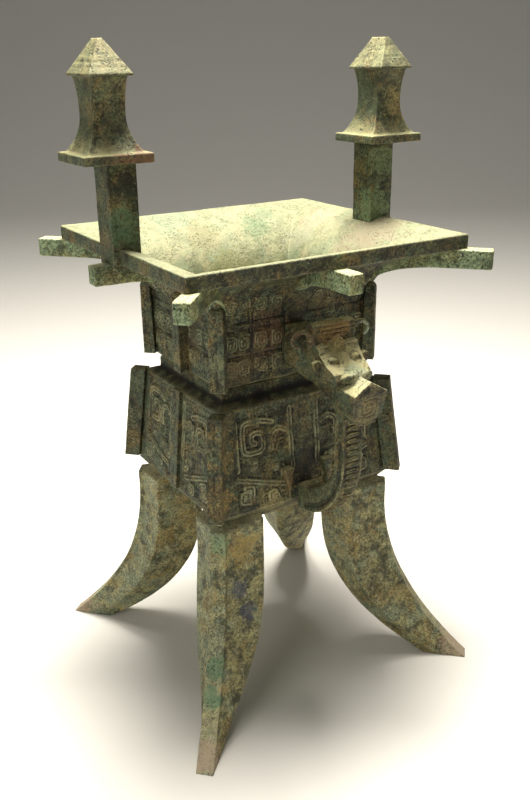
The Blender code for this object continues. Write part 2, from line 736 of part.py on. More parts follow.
def horn_outline(width, height, band, steps=6):
    # A C scroll that opens to the right: outer arc out and inner arc back.
    outer = []
    inner = []
    for i in range(steps + 1):
        angle = pi / 2 + pi * i / steps
        outer.append((width / 2 * (1 + cos(angle)), height / 2 * (1 + sin(angle))))
        x = width / 2 + (width / 2 - band) * cos(angle)
        inner.append((x, height / 2 + (height / 2 - band) * sin(angle)))
    return outer + list(reversed(inner))


def mirrored(outline, side):
    return [(side * x, y) for x, y in outline]


def moved(outline, dx, dy):
    return [(x + dx, y + dy) for x, y in outline]


def wall_frames(low_size, top_size, z_low, z_high):
    # One frame on each wall: origin at the foot's middle, X to the viewer's right, Y up the wall.
    frames = {}
    low = halves(low_size)
    top = halves(top_size)
    for name, side, axis in (("left", -1, 0), ("right", 1, 0), ("front", -1, 1), ("back", 1, 1)):
        outward = Vector((side, 0, 0)) if axis == 0 else Vector((0, side, 0))
        right = Vector((0, 0, 1)).cross(outward)
        foot = outward * low[axis] + Vector((0, 0, z_low))
        head = outward * top[axis] + Vector((0, 0, z_high))
        frames[name] = (frame_of(foot, right, head - foot), low[1 - axis])
    return frames


def raise_on_wall(name, outline, frame, rise, collection):
    lifted = frame @ Matrix.Translation((0, 0, (rise - EMBED) / 2))
    plate(name, outline, rise + EMBED, lifted, collection)


def make_body_relief(collection):
    # A mask on each wall: C horns, eyes, snout, jaw and tail on both sides of the flange.
    frames = wall_frames(BODY_LOW_SIZE, BODY_TOP_SIZE, Z_EDGE, Z_SHOULDER)
    for name, (frame, half) in frames.items():
        spread = half / (BODY_LOW_SIZE[0] / 2)
        for side in (-1, 1):
            for part, (x, z, wide, tall) in MASK_BANDS.items():
                if part == "horn":
                    outline = horn_outline(wide * spread, tall, RELIEF_BAND)
                elif part == "tail":
                    outline = [(0, 0), (wide, 0), (wide, tall), (0, tall)]
                else:
                    outline = hook_outline(wide * spread, tall, RELIEF_BAND)
                outline = mirrored(moved(outline, x * spread, z), side)
                raise_on_wall(f"{name}_{part}", outline, frame, RELIEF_RISE, collection)
            eye = (side * MASK_EYE[0] * spread, MASK_EYE[1], 0.0)
            dome(f"{name}_eye", eye, MASK_EYE_RADII, collection, frame)
            if name == "front":
                wide, tall = SPUR_SIZE
                spur = [(0, tall), (wide * 0.38, 0), (wide, tall * 0.7), (wide, tall)]
                spur = moved(spur, SPUR_OFFSET, EMBED)
                raise_on_wall(f"spur_{side}", mirrored(spur, side), frame, SPUR_RISE, collection)


def make_neck_relief(collection):
    # Hooked scrolls in a band round the neck's foot, under upright blades.
    frames = wall_frames(NECK_SIZE, NECK_SIZE, Z_NECK, Z_FLARE)
    for name, (frame, half) in frames.items():
        spread = half / (NECK_SIZE[0] / 2)
        for side in (-1, 1):
            for place in NECK_PLACES:
                if name == "front" and place == NECK_PLACES[0]:
                    continue
                hook = hook_outline(SCROLL_SIZE[0] * spread, SCROLL_SIZE[1], NECK_BAND)
                hook = moved(hook, (place - SCROLL_SIZE[0] / 2) * spread, SCROLL_FOOT)
                raise_on_wall(f"{name}_scroll", mirrored(hook, side), frame, RELIEF_RISE, collection)
                wide = BLADE_SIZE[0] / 2 * spread
                tall = BLADE_SIZE[1]
                right = [(wide, 0), (wide * 0.8, tall * 0.6)]
                blade = right + [(0, tall)] + mirrored(right, -1)[::-1]
                blade = moved(blade, place * spread, BLADE_FOOT)
                raise_on_wall(f"{name}_blade", mirrored(blade, side), frame, RELIEF_RISE, collection)


def make_materials():
    bronze = bpy.data.materials.new("patinated_bronze")
    bronze.use_nodes = True
    shader = bronze.node_tree.nodes["Principled BSDF"]
    shader.inputs["Base Color"].default_value = (0.16, 0.17, 0.09, 1.0)
    shader.inputs["Roughness"].default_value = 0.72
    shader.inputs["Metallic"].default_value = 0.25
    return bronze


def main():
    for obj in list(bpy.data.objects):
        bpy.data.objects.remove(obj)
    scene = bpy.context.scene.collection
    vessel_parts = bpy.data.collections.new("square_vessel")
    solids = bpy.data.collections.new("solids_to_join")
    hollows = bpy.data.collections.new("hollows_to_cut")
    relief = bpy.data.collections.new("relief_to_join")
    for collection in (vessel_parts, solids, hollows, relief):
        scene.children.link(collection)

    vessel = make_outside(vessel_parts)
    make_corner_flanges(solids)
    make_side_flanges(solids)
    for number, (sx, sy) in enumerate(CORNERS, 1):
        make_leg(number, sx, sy, solids)
    make_post("left", -1, solids)
    make_post("right", 1, solids)
    make_hollow(hollows)
    make_strap(relief)
    make_beak(relief)
    make_head(relief)
    make_body_relief(relief)
    make_neck_relief(relief)

    # The arms reach through the flare, so the hollow is cut before the fine relief goes on
    boolean(vessel, "UNION", solids)
    boolean(vessel, "DIFFERENCE", hollows)
    boolean(vessel, "UNION", relief)
    vessel.modifiers.new("Triangulate", "TRIANGULATE")
    weld = vessel.modifiers.new("Weld", "WELD")
    weld.merge_threshold = WELD_DISTANCE

    # The vessel's middle lies behind the origin by the handle's share of the depth
    stand = bpy.data.objects.new("stand", None)
    stand.location = (0.0, ORIGIN_SHIFT, 0.0)
    vessel_parts.objects.link(stand)
    vessel.parent = stand
    for guide in list(solids.objects) + list(hollows.objects) + list(relief.objects):
        guide.parent = stand
        guide.hide_render = True
        guide.display_type = "WIRE"
    vessel.data.materials.append(make_materials())


main()
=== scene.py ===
from math import cos, pi, radians, sin

import bmesh
import bpy
import numpy as np
from mathutils import Matrix, Vector, noise


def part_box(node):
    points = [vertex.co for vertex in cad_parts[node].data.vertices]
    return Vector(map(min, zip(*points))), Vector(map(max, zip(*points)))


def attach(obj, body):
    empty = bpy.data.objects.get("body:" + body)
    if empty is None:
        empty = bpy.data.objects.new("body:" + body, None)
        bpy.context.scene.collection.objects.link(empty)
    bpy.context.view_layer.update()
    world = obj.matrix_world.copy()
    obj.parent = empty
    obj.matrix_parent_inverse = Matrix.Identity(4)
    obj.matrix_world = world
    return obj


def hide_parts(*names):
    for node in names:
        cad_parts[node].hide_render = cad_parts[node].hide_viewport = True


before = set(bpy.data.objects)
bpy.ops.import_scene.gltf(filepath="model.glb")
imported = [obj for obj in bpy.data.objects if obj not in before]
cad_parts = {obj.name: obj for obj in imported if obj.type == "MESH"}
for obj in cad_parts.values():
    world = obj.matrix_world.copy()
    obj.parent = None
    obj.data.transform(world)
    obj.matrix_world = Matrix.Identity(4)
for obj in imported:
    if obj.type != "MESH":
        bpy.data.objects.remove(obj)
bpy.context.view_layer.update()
handleReach = 0.1258  # metres from the body's middle to the beak, the vessel's furthest point forward
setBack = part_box("vessel")[0][1] + handleReach  # the pieces are drawn about the body's middle
print("frame loaded")


# Camera, at the photograph's viewing angle

view = {
    "position": (-0.3059, -0.5000, 0.4252),
    "azimuth": -31.880,
    "elevation": 21.437,
    "roll": -0.808,
    "lens": 39.71,
}


def makeCamera():
    turn = radians(view["azimuth"])
    lift = radians(view["elevation"])
    roll = radians(view["roll"])
    back = Vector((sin(turn) * cos(lift), -cos(turn) * cos(lift), sin(lift)))
    right = Vector((cos(turn), sin(turn), 0))
    up = back.cross(right)
    data = bpy.data.cameras.new("photoCamera")
    data.lens = view["lens"]
    data.sensor_width = 36
    camera = bpy.data.objects.new("photoCamera", data)
    bpy.context.scene.collection.objects.link(camera)
    axes = (right * cos(roll) + up * sin(roll), up * cos(roll) - right * sin(roll), back)
    place = Vector(view["position"]) + Vector((0, setBack, 0))
    camera.matrix_world = Matrix.Translation(place) @ Matrix(axes).transposed().to_4x4()
    bpy.context.scene.camera = camera


makeCamera()


# Nodes: one method makes any of them, and a socket can be added to, multiplied and so on

class Nodes:
    def __init__(self, tree):
        self.tree = tree

    def node(self, kind, settings, inputs, output=0):
        made = self.tree.nodes.new(kind)
        for key, value in settings.items():
            setattr(made, key, value)
        for key, value in inputs.items():
            self.give(made.inputs[key], value)
        return Tint(self, made.outputs[output])

    def give(self, socket, value):
        if isinstance(value, Tint):
            self.tree.links.new(value.socket, socket)
        else:
            socket.default_value = value


class Tint:
    def __init__(self, paint, socket):
        self.paint = paint
        self.socket = socket

    def mathWith(self, operation, first, second):
        return self.paint.node("ShaderNodeMath", {"operation": operation}, {0: first, 1: second})

    def __add__(self, other):
        return self.mathWith("ADD", self, other)

    def __sub__(self, other):
        return self.mathWith("SUBTRACT", self, other)

    def __rsub__(self, other):
        return self.mathWith("SUBTRACT", other, self)

    def __mul__(self, other):
        return self.mathWith("MULTIPLY", self, other)

    __radd__ = __add__
    __rmul__ = __mul__

    def clipped(self):
        return self.paint.node("ShaderNodeClamp", {}, {0: self})

    def between(self, low, high):
        inputs = {"Value": self, "From Min": low, "From Max": high}
        return self.paint.node("ShaderNodeMapRange", {"interpolation_type": "SMOOTHSTEP"}, inputs)


class Paint(Nodes):
    def __init__(self, name):
        self.material = bpy.data.materials.new(name)
        self.material.use_nodes = True
        super().__init__(self.material.node_tree)
        self.shader = self.tree.nodes["Principled BSDF"]
        self.place = self.node("ShaderNodeTexCoord", {}, {}, "Object")

    def cloud(self, perMetre, shift=(0, 0, 0), detail=5, rough=0.6):  # noise
        place = self.node("ShaderNodeMapping", {}, {"Vector": self.place, "Location": shift})
        inputs = {"Vector": place, "Scale": perMetre, "Detail": detail, "Roughness": rough}
        return self.node("ShaderNodeTexNoise", {}, inputs)

    def mix(self, share, first, second):
        def colour(value):
            return value if isinstance(value, Tint) else (*value, 1)
        inputs = {0: share, 6: colour(first), 7: colour(second)}
        return self.node("ShaderNodeMix", {"data_type": "RGBA"}, inputs, 2)

    def own(self, attribute):
        return self.node("ShaderNodeAttribute", {"attribute_name": attribute}, {}, "Fac")

    def upward(self):
        normal = self.node("ShaderNodeNewGeometry", {}, {}, "Normal")
        return self.node("ShaderNodeSeparateXYZ", {}, {0: normal}, 2)

    def facing(self, direction):
        ends = {0: self.node("ShaderNodeNewGeometry", {}, {}, "Normal"), 1: direction}
        return self.node("ShaderNodeVectorMath", {"operation": "DOT_PRODUCT"}, ends, "Value")

    def spot(self, centre, radius, ragged):
        place = Vector(centre) + Vector((0, setBack, 0))
        ends = {0: self.place, 1: place}
        offset = self.node("ShaderNodeVectorMath", {"operation": "DISTANCE"}, ends, "Value")
        edge = offset + (self.cloud(240, centre, 6, 0.7) - 0.5) * (radius * ragged * 4)
        return 1 - edge.between(radius * 0.6, radius * 1.15)

    def use(self, **sockets):
        for name, value in sockets.items():
            self.give(self.shader.inputs[name.replace("_", " ")], value)


# Patina: corroded bronze with painted top light, highlights and shade, in one recipe with a dict for each
# part of the vessel

patina = {
    "dark": (0.020, 0.022, 0.011),
    "olive": (0.135, 0.130, 0.050),
    "verdigris": (0.125, 0.190, 0.105),
    "ochre": (0.330, 0.215, 0.060),
    # pale crust colour, also used for painted top light, highlights and glints
    "paleCrustAndLight": (0.560, 0.530, 0.290),
    "pit": (0.005, 0.004, 0.004),
    "verdigrisShare": 0.55,
    "ochreShare": 0.50,
    "paleShare": 0.16,
    "speckleShare": 0.75,
    "paleCrustAndLightShare": 0.20,
    "paleCrustAndLightFrom": 0.25,
    "pitShare": 0.95,
    "grooveShare": 0.92,
    "ridgeShare": 0.85,
    "ridgeLight": 0.72,
    "glintShare": 0.32,
    "ragged": 0.9,  # edge of a spot that has no value of its own
    "spots": [  # centre, radius, colour, and for some how ragged the edge is
        ((-0.0655, -0.0585, 0.16), 0.0095, (0.4, 0.28, 0.08)),
        ((-0.065, -0.0575, 0.185), 0.009, (0.36, 0.26, 0.09)),
        ((-0.064, -0.056, 0.207), 0.0075, (0.33, 0.24, 0.09)),
        ((-0.0625, -0.05, 0.25), 0.007, (0.19, 0.2, 0.1)),
        # painted shade under the rim's flare
        ((-0.054, -0.01, 0.262), 0.016, (0.03, 0.03, 0.016)),
        ((0.02, -0.06, 0.152), 0.015, (0.3, 0.235, 0.09)),
        ((-0.028, -0.0605, 0.15), 0.013, (0.26, 0.215, 0.08)),
        ((-0.02, -0.048, 0.262), 0.016, (0.14, 0.075, 0.04)),
        ((-0.042, -0.048, 0.24), 0.013, (0.12, 0.085, 0.035)),
        # painted shadow behind the handle's strap
        ((-0.001, -0.058, 0.168), 0.015, (0.004, 0.003, 0.003)),
        ((-0.098, -0.01, 0.33), 0.011, (0.1, 0.18, 0.09)),
        ((-0.095, -0.01, 0.355), 0.009, (0.012, 0.014, 0.009)),
        ((0.09, -0.01, 0.322), 0.015, (0.22, 0.31, 0.15)),
        ((0.096, -0.01, 0.355), 0.011, (0.2, 0.26, 0.12)),
    ],
}
mouthPatina = dict(
    patina,
    dark=(0.150, 0.165, 0.078),
    olive=(0.330, 0.330, 0.165),
    verdigris=(0.215, 0.285, 0.160),
    ochre=(0.420, 0.330, 0.190),
    paleCrustAndLight=(0.385, 0.378, 0.220),
    verdigrisShare=0.60,
    speckleShare=0.25,
    paleCrustAndLightShare=0.42,
    pitShare=0.30,
    grooveShare=0.50,
    ridgeShare=0.50,
    ridgeLight=0.60,
    glintShare=0.30,
    spots=[
        ((-0.0222, 0.0832, 0.3149), 0.018, (0.23, 0.28, 0.17)),
        ((0.0382, 0.0641, 0.3054), 0.012, (0.16, 0.23, 0.11)),
        ((0.0526, 0.0769, 0.3126), 0.009, (0.2, 0.25, 0.13)),
        ((0.0812, 0.0435, 0.3105), 0.015, (0.48, 0.35, 0.22)),
        ((0.078, -0.023, 0.309), 0.024, (0.31, 0.25, 0.16)),
        ((0.0655, 0.0445, 0.2986), 0.014, (0.3, 0.3, 0.19)),
        ((-0.0092, 0.0625, 0.3043), 0.015, (0.26, 0.24, 0.11)),
        ((0.003, 0.0456, 0.28), 0.017, (0.23, 0.23, 0.09)),
    ],
)
legPatina = dict(
    patina,
    dark=(0.062, 0.066, 0.034),
    olive=(0.470, 0.430, 0.190),
    verdigris=(0.360, 0.440, 0.285),
    ochre=(0.460, 0.310, 0.080),
    paleCrustAndLight=(0.620, 0.580, 0.340),
    paleShare=0.55,
    speckleShare=0.65,
    paleCrustAndLightShare=0.45,
    pitShare=0.62,
    grooveShare=0.75,
    ridgeShare=0.80,
    spots=[
        ((-0.085, -0.0727, 0.11), 0.006, (0.06, 0.075, 0.23)),
        ((-0.086, -0.0735, 0.098), 0.0065, (0.07, 0.095, 0.21)),
        ((-0.0531, -0.062, 0.074), 0.008, (0.035, 0.045, 0.11)),
        ((-0.056, -0.062, 0.092), 0.006, (0.07, 0.08, 0.12)),
        ((-0.066, -0.064, 0.06), 0.008, (0.09, 0.085, 0.06)),
        ((-0.086, -0.078, 0.05), 0.009, (0.12, 0.26, 0.13)),
        ((-0.093, -0.085, 0.034), 0.008, (0.13, 0.28, 0.15)),
        ((-0.109, -0.104, 0.008), 0.012, (0.48, 0.35, 0.25)),
        ((0.109, -0.104, 0.008), 0.014, (0.48, 0.35, 0.25)),
        ((-0.109, 0.104, 0.008), 0.014, (0.44, 0.33, 0.23)),
        ((-0.05, -0.061, 0.12), 0.012, (0.38, 0.27, 0.07)),
        ((-0.07, -0.062, 0.128), 0.009, (0.2, 0.3, 0.15)),
    ],
)
capPatina = dict(
    patina,
    dark=(0.040, 0.044, 0.022),
    olive=(0.200, 0.190, 0.085),
    ochre=(0.330, 0.210, 0.065),
    paleCrustAndLight=(0.450, 0.420, 0.200),
    paleCrustAndLightShare=0.60,
    pitShare=0.90,
    spots=[
        ((-0.086, -0.023, 0.3695), 0.01, (0.17, 0.07, 0.035)),
        ((-0.1, -0.023, 0.369), 0.007, (0.2, 0.08, 0.035)),
        ((0.108, -0.01, 0.39), 0.011, (0.42, 0.33, 0.13)),
    ],
)
armPatina = dict(
    patina,
    dark=(0.060, 0.080, 0.035),
    olive=(0.380, 0.390, 0.160),
    verdigris=(0.360, 0.500, 0.280),
    paleCrustAndLight=(0.640, 0.650, 0.370),
    verdigrisShare=0.75,
    ochreShare=0.35,
    paleShare=0.50,
    paleCrustAndLightShare=0.70,
)
handlePatina = dict(
    patina,
    olive=(0.170, 0.140, 0.050),
    paleCrustAndLight=(0.660, 0.600, 0.310),
    paleCrustAndLightShare=0.88,
    paleCrustAndLightFrom=0.42,
    pitShare=0.85,
    spots=[
        ((0.0, -0.09, 0.269), 0.012, (0.34, 0.21, 0.07)),
        ((0.0, -0.098, 0.2565), 0.01, (0.4, 0.345, 0.14), 0.5),
        ((0.0, -0.111, 0.248), 0.0085, (0.4, 0.47, 0.3), 0.35),
        ((0.0, -0.1185, 0.245), 0.0075, (0.6, 0.56, 0.34), 0.25),
        ((0.0, -0.128, 0.226), 0.0105, (0.23, 0.19, 0.07), 0.35),
        ((-0.022, -0.085, 0.267), 0.009, (0.1, 0.035, 0.02)),
        ((0.027, -0.085, 0.262), 0.007, (0.5, 0.56, 0.36)),
        # painted shade under the rim, where the head meets the neck
        ((0.0, -0.064, 0.262), 0.017, (0.022, 0.022, 0.012)),
        ((-0.007, -0.08, 0.244), 0.01, (0.12, 0.14, 0.06)),
        ((-0.016, -0.062, 0.16), 0.01, (0.19, 0.125, 0.05)),
        # painted shadow in the gap between the strap and the body
        ((-0.001, -0.072, 0.164), 0.011, (0.005, 0.004, 0.003)),
    ],
)
clouds = {  # features per metre, shift, detail, roughness
    "speckle": (640, (0.4, 0.2, 0.9), 6, 0.7),
    "mottle": (120, (0.1, 0.7, 0.2), 9, 0.72),
    "green": (62, (0.3, 0.1, 0.7), 8, 0.7),
    "rust": (54, (0.9, 0.4, 0.2), 8, 0.7),
    "pale": (260, (0.5, 0.9, 0.3), 7, 0.72),
    "lift": (130, (0.6, 0.6, 0.1), 7),
    "glint": (900, (0.8, 0.3, 0.5), 3),
    "pit": (760, (0.2, 0.5, 0.1), 4),
    "pitted": (85, (0.1, 0.8, 0.3), 3),
    "grain": (1500, (0, 0, 0), 3),
}
edges = {  # where each layer starts and is full
    "mottle": (0.42, 0.60),
    "green": (0.56, 0.68),
    "rust": (0.57, 0.69),
    "pale": (0.52, 0.64),
    "dark": (0.56, 0.42),
    "stain": (0.36, 0.60),
    "ridge": (0.54, 0.80),
    "glint": (0.62, 0.70),
    "groove": (0.53, 0.74),
    "pit": (0.55, 0.63),
    "pitted": (0.40, 0.56),
}


def makePatina(name, look):
    paint = Paint(name)
    relief = paint.own("relief")
    wearAndShade = paint.own("wearAndShade")

    # Mottled metal, greener to the left, with rusty and pale patches
    speckle = paint.cloud(*clouds["speckle"])
    base = paint.mix(paint.cloud(*clouds["mottle"]).between(*edges["mottle"]), look["dark"], look["olive"])
    green = paint.cloud(*clouds["green"]) + paint.facing((-1, 0, 0)) * 0.09 + speckle * 0.12
    base = paint.mix(green.between(*edges["green"]) * look["verdigrisShare"], base, look["verdigris"])
    rusty = paint.cloud(*clouds["rust"]) + speckle * 0.14
    base = paint.mix(rusty.between(*edges["rust"]) * look["ochreShare"], base, look["ochre"])
    pale = paint.cloud(*clouds["pale"]).between(*edges["pale"])
    base = paint.mix(pale * look["paleShare"], base, look["paleCrustAndLight"])
    base = paint.mix(speckle.between(*edges["dark"]) * look["speckleShare"], base, look["dark"])

    # Pale crust where the surface looks up, partly painted top light, then the stains, a few of them painted
    # shade
    upCrustAndLight = paint.upward() + (paint.cloud(*clouds["lift"]) - 0.5) * 0.7 + (speckle - 0.5) * 0.3
    share = upCrustAndLight.between(look["paleCrustAndLightFrom"], look["paleCrustAndLightFrom"] + 0.5) * look["paleCrustAndLightShare"]
    base = paint.mix(share, base, look["paleCrustAndLight"])
    for centre, radius, colour, *ragged in look["spots"]:
        cover = paint.spot(centre, radius, *(ragged or [look["ragged"]]))
        share = cover * (0.35 + speckle.between(*edges["stain"]) * 0.50)
        base = paint.mix(share, base, colour)

    # Ridges and worn edges are painted lighter, partly wear and partly painted highlight, with a few painted
    # glints; grooves and hollows are painted dark, partly earth and partly painted shade
    raised = (relief * 0.45 + wearAndShade * 0.55 + (speckle - 0.5) * 0.25).clipped()
    wornAndLitRidge = paint.mix(look["ridgeLight"], base, look["paleCrustAndLight"])
    base = paint.mix(raised.between(*edges["ridge"]) * look["ridgeShare"], base, wornAndLitRidge)
    glint = paint.cloud(*clouds["glint"]).between(*edges["glint"])
    base = paint.mix(glint * look["glintShare"], base, look["paleCrustAndLight"])
    base = paint.mix((1 - raised).between(*edges["groove"]) * look["grooveShare"], base, look["pit"])

    # Black pits
    pits = paint.cloud(*clouds["pit"]).between(*edges["pit"])
    pits = pits * paint.cloud(*clouds["pitted"]).between(*edges["pitted"])
    base = paint.mix(pits * look["pitShare"], base, look["pit"])

    height = speckle * 0.9 + paint.cloud(*clouds["grain"]) * 0.3 - pits * 0.9
    bump = paint.node("ShaderNodeBump", {}, {"Strength": 0.75, "Distance": 0.0008, "Height": height})
    paint.use(Base_Color=base, Roughness=0.52 + speckle * 0.3, Metallic=0.0, Normal=bump)
    return paint.material


looks = {
    "body": patina,
    "mouth": mouthPatina,
    "leg": legPatina,
    "cap": capPatina,
    "arm": armPatina,
    "handle": handlePatina,
}
finishes = {name: makePatina(f"{name}Patina", look) for name, look in looks.items()}
print("patina mixed")


# Grids: a stack of level outlines, filled in, softened and skinned

def rowShares(length, step):
    # Where rows lie between two levels: coarse rows keep a close neighbour by each level
    guard = 0.0007
    if step < 2 * guard or length < 9 * guard:
        count = max(1, round(length / step))
        return np.arange(count) / count
    share = guard / length
    return np.append(0, np.linspace(share, 1 - share, max(2, round(length / step))))


def refined(levels, sideSteps, rowSteps):
    # Level outlines with equal corner counts, filled in to a softened grid of rows and columns
    levels = [np.array(level, float) for level in levels]
    if np.isscalar(rowSteps):
        rowSteps = [rowSteps] * (len(levels) - 1)
    rows = []
    for low, high, step in zip(levels, levels[1:], rowSteps):
        length = np.linalg.norm(high - low, axis=1).max()
        rows += [low + (high - low) * share for share in rowShares(length, step)]
    rows = np.array(rows + [levels[-1]])
    following = np.roll(rows, -1, axis=1)
    shares = [np.arange(count) / count for count in sideSteps]
    parts = []
    for i, along in enumerate(shares):
        share = along[None, :, None]
        parts.append(rows[:, i:i + 1] * (1 - share) + following[:, i:i + 1] * share)

    # The corners are rounded by half a step each way
    grid = np.concatenate(parts, axis=1)
    grid = grid / 2 + (np.roll(grid, 1, 1) + np.roll(grid, -1, 1)) / 4
    grid[1:-1] = grid[1:-1] / 2 + (grid[:-2] + grid[2:]) / 4
    side = np.repeat(np.arange(len(sideSteps)), sideSteps)
    return {"grid": grid, "side": side, "share": np.concatenate(shares)}


def gridMesh(name, grid, ring=False):
    # A ring joins its last level to its first; otherwise both ends are capped
    rows, columns = grid.shape[:2]
    index = np.arange(rows * columns).reshape(rows, columns)
    low = index if ring else index[:-1]
    high = np.roll(index, -1, 0) if ring else index[1:]
    quads = np.stack([low, np.roll(low, -1, 1), np.roll(high, -1, 1), high], axis=-1)
    faces = quads.reshape(-1, 4).tolist()
    if not ring:
        faces += [index[0][::-1].tolist(), index[-1].tolist()]
    mesh = bpy.data.meshes.new(name)
    mesh.from_pydata(grid.reshape(-1, 3).tolist(), [], faces)
    return mesh


def readPoints(mesh, kind="co"):
    values = np.empty(len(mesh.vertices) * 3)
    mesh.vertices.foreach_get(kind, values)
    return values.reshape(-1, 3)


def addPiece(name, mesh, finish):
    piece = bpy.data.objects.new(name, mesh)
    bpy.context.scene.collection.objects.link(piece)
    mesh.materials.clear()
    mesh.materials.append(finishes[finish])
    mesh.transform(Matrix.Translation((0, setBack, 0)))
    mesh.shade_smooth()
    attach(piece, "root")
    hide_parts("vessel")


casting = {
    "waveSize": 0.022,  # metres
    "waveDepth": 0.00030,
    "waveMiddle": 0.4,
    "grainSize": 0.0032,
    "grainDepth": 0.00013,
    "grainMiddle": 0.3,
    "reliefFull": 0.0011,
    "wearGain": 1.3,
    "worn": 0.80,
    "wornSize": 0.0075,
    "wornFrom": -0.25,
}


def castSurface(mesh, height=None, wave=1.0):
    # Raises the relief, adds the unevenness of an old casting, and stores relief and the edge-and-hollow
    # value that the patina turns into wear, painted highlight and painted shade
    points = readPoints(mesh)
    normals = readPoints(mesh, "normal")
    relief = np.zeros(len(points)) if height is None else height.copy()
    uneven = np.empty(len(points))
    for i, point in enumerate(points):
        place = Vector(point)
        broad = noise.noise(place / casting["waveSize"]) - casting["waveMiddle"]
        fine = noise.noise(place / casting["grainSize"]) - casting["grainMiddle"]
        uneven[i] = broad * casting["waveDepth"] * wave + fine * casting["grainDepth"]
        worn = noise.noise(place / casting["wornSize"]) - casting["wornFrom"]
        relief[i] *= 1 - casting["worn"] * max(0.0, worn)
    points = points + normals * (relief + uneven)[:, None]
    points[:, 2] = points[:, 2].clip(0)  # the toes stay flat on the floor
    mesh.vertices.foreach_set("co", points.ravel())
    mesh.update()
    shade = np.clip(0.5 + relief / casting["reliefFull"] / 2, 0, 1)
    storeValues(mesh, "relief", shade)
    storeValues(mesh, "wearAndShade", edgeAndHollowOf(mesh))


def edgeAndHollowOf(mesh):
    # 0.5 on flat metal, more on edges that stick out, less in hollows: painted as wear and highlight on
    # edges, as painted shade in hollows
    edges = np.empty(len(mesh.edges) * 2, int)
    mesh.edges.foreach_get("vertices", edges)
    first, second = edges.reshape(-1, 2).T
    points = readPoints(mesh)
    normals = readPoints(mesh, "normal")
    count = np.bincount(edges, minlength=len(points)).astype(float)

    def average(values):
        total = np.zeros_like(values)
        np.add.at(total, first, values[second])
        np.add.at(total, second, values[first])
        return total / (count[:, None] if values.ndim > 1 else count)

    length = np.linalg.norm(points[first] - points[second], axis=1).mean()
    bend = -((average(points) - points) * normals).sum(axis=1) / length
    for _ in range(2):
        bend = average(bend) / 2 + bend / 2
    return np.clip(0.5 + casting["wearGain"] * bend, 0, 1)


def storeValues(mesh, name, values):
    attribute = mesh.attributes.new(name, "FLOAT", "POINT")
    attribute.data.foreach_set("value", values.astype(np.float32))


# Carving: bands along paths, in millimetres on the wall

def band(u, v, path, width, edge=0.7):
    # 1 along the path, falling to 0 past the band's edge
    path = np.array(path, float)
    reach = width / 2 + edge
    low = path.min(axis=0) - reach
    high = path.max(axis=0) + reach
    near = (u > low[0]) & (u < high[0]) & (v > low[1]) & (v < high[1])
    cover = np.zeros_like(u)
    if not near.any():
        return cover
    uNear = u[near]
    vNear = v[near]
    best = np.full(uNear.shape, np.inf)
    for (x0, y0), (x1, y1) in zip(path, path[1:]):
        dx = x1 - x0
        dy = y1 - y0
        along = np.clip(((uNear - x0) * dx + (vNear - y0) * dy) / (dx * dx + dy * dy), 0, 1)
        best = np.minimum(best, (uNear - x0 - along * dx) ** 2 + (vNear - y0 - along * dy) ** 2)
    cover[near] = np.clip((width / 2 + edge / 2 - np.sqrt(best)) / edge, 0, 1)
    return cover


def squareSpiral(centre, size, turns, start=0.0, turnWay=1, tall=1.0):
    steps = round(turns * 16)
    path = []
    for i in range(steps + 1):
        angle = start + turnWay * 2 * pi * turns * i / steps
        reach = size / 2 * (1 - 0.86 * i / steps)
        square = max(abs(cos(angle)), abs(sin(angle))) ** -0.75
        path.append((centre[0] + reach * square * cos(angle), centre[1] + reach * square * sin(angle) * tall))
    return path


def line(offset, half):
    # 1 where offset is 0, falling to 0 at half the line's width
    return np.clip(1 - np.abs(offset) / half, 0, 1)


def fade(inside, edge):
    # 0 outside, rising to 1 at edge millimetres inside
    return np.clip(inside / edge, 0, 1)


def together(covers):
    return np.maximum.reduce(covers)


def dome(u, v, centre, radii):
    return np.clip(1 - ((u - centre[0]) / radii[0]) ** 2 - ((v - centre[1]) / radii[1]) ** 2, 0, 1) ** 0.5


def thunderFill(u, v, low, high, cell):
    # Rows of small squared spirals that fill the ground between the raised bands
    turns = 1.35
    covers = [np.zeros_like(u)]
    columns = max(1, round((high[0] - low[0]) / cell))
    lines = max(1, round((high[1] - low[1]) / cell))
    wide = (high[0] - low[0]) / columns
    tall = (high[1] - low[1]) / lines
    for i in range(columns):
        for j in range(lines):
            centre = (low[0] + wide * (i + 0.5), low[1] + tall * (j + 0.5))
            way = 1 if (i + j) % 2 else -1
            path = squareSpiral(centre, wide * 0.86, turns, pi / 2 * ((i + 2 * j) % 4), way, tall / wide)
            covers.append(band(u, v, path, 1.0, 0.7))
    return together(covers)


def smoothPath(points):
    # A smooth line through a few points
    steps = 4
    points = [Vector(point) for point in points]
    ends = [points[0] * 2 - points[1]] + points + [points[-1] * 2 - points[-2]]
    path = []
    for a, b, c, d in zip(ends, ends[1:], ends[2:], ends[3:]):
        for i in range(steps):
            t = i / steps
            path.append(0.5 * (2 * b + (c - a) * t + (2 * a - 5 * b + 4 * c - d) * t ** 2
                               + (3 * b - a - 3 * c + d) * t ** 3))
    return [tuple(point) for point in path + [points[-1]]]


# Shell: belly, body, shoulder, groove, neck, flare and rim

shell = {
    "base": (0.119, 0.100, 0.134),  # length, width, height above the floor
    "edge": (0.138, 0.121, 0.146),
    "shoulder": (0.125, 0.107, 0.2165),
    "grooveLow": (0.110, 0.090, 0.2195),
    "grooveTop": (0.110, 0.090, 0.228),
    "neckLow": (0.114, 0.094, 0.2296),
    "neckTop": (0.114, 0.094, 0.268),
    "rim": (0.2032, 0.1872),
    "rimLow": 0.3073,
    "rimTop": 0.3169,
    "wall": 0.004,
    "floor": 0.005,
    "lip": 0.003,
    "flareSteps": 16,
    "mouthStop": 75,
    "sides": (164, 148, 164, 148),
    "fineStep": 0.00075,
    "coarseStep": 0.0120,
    "rimStep": 0.0013,
}


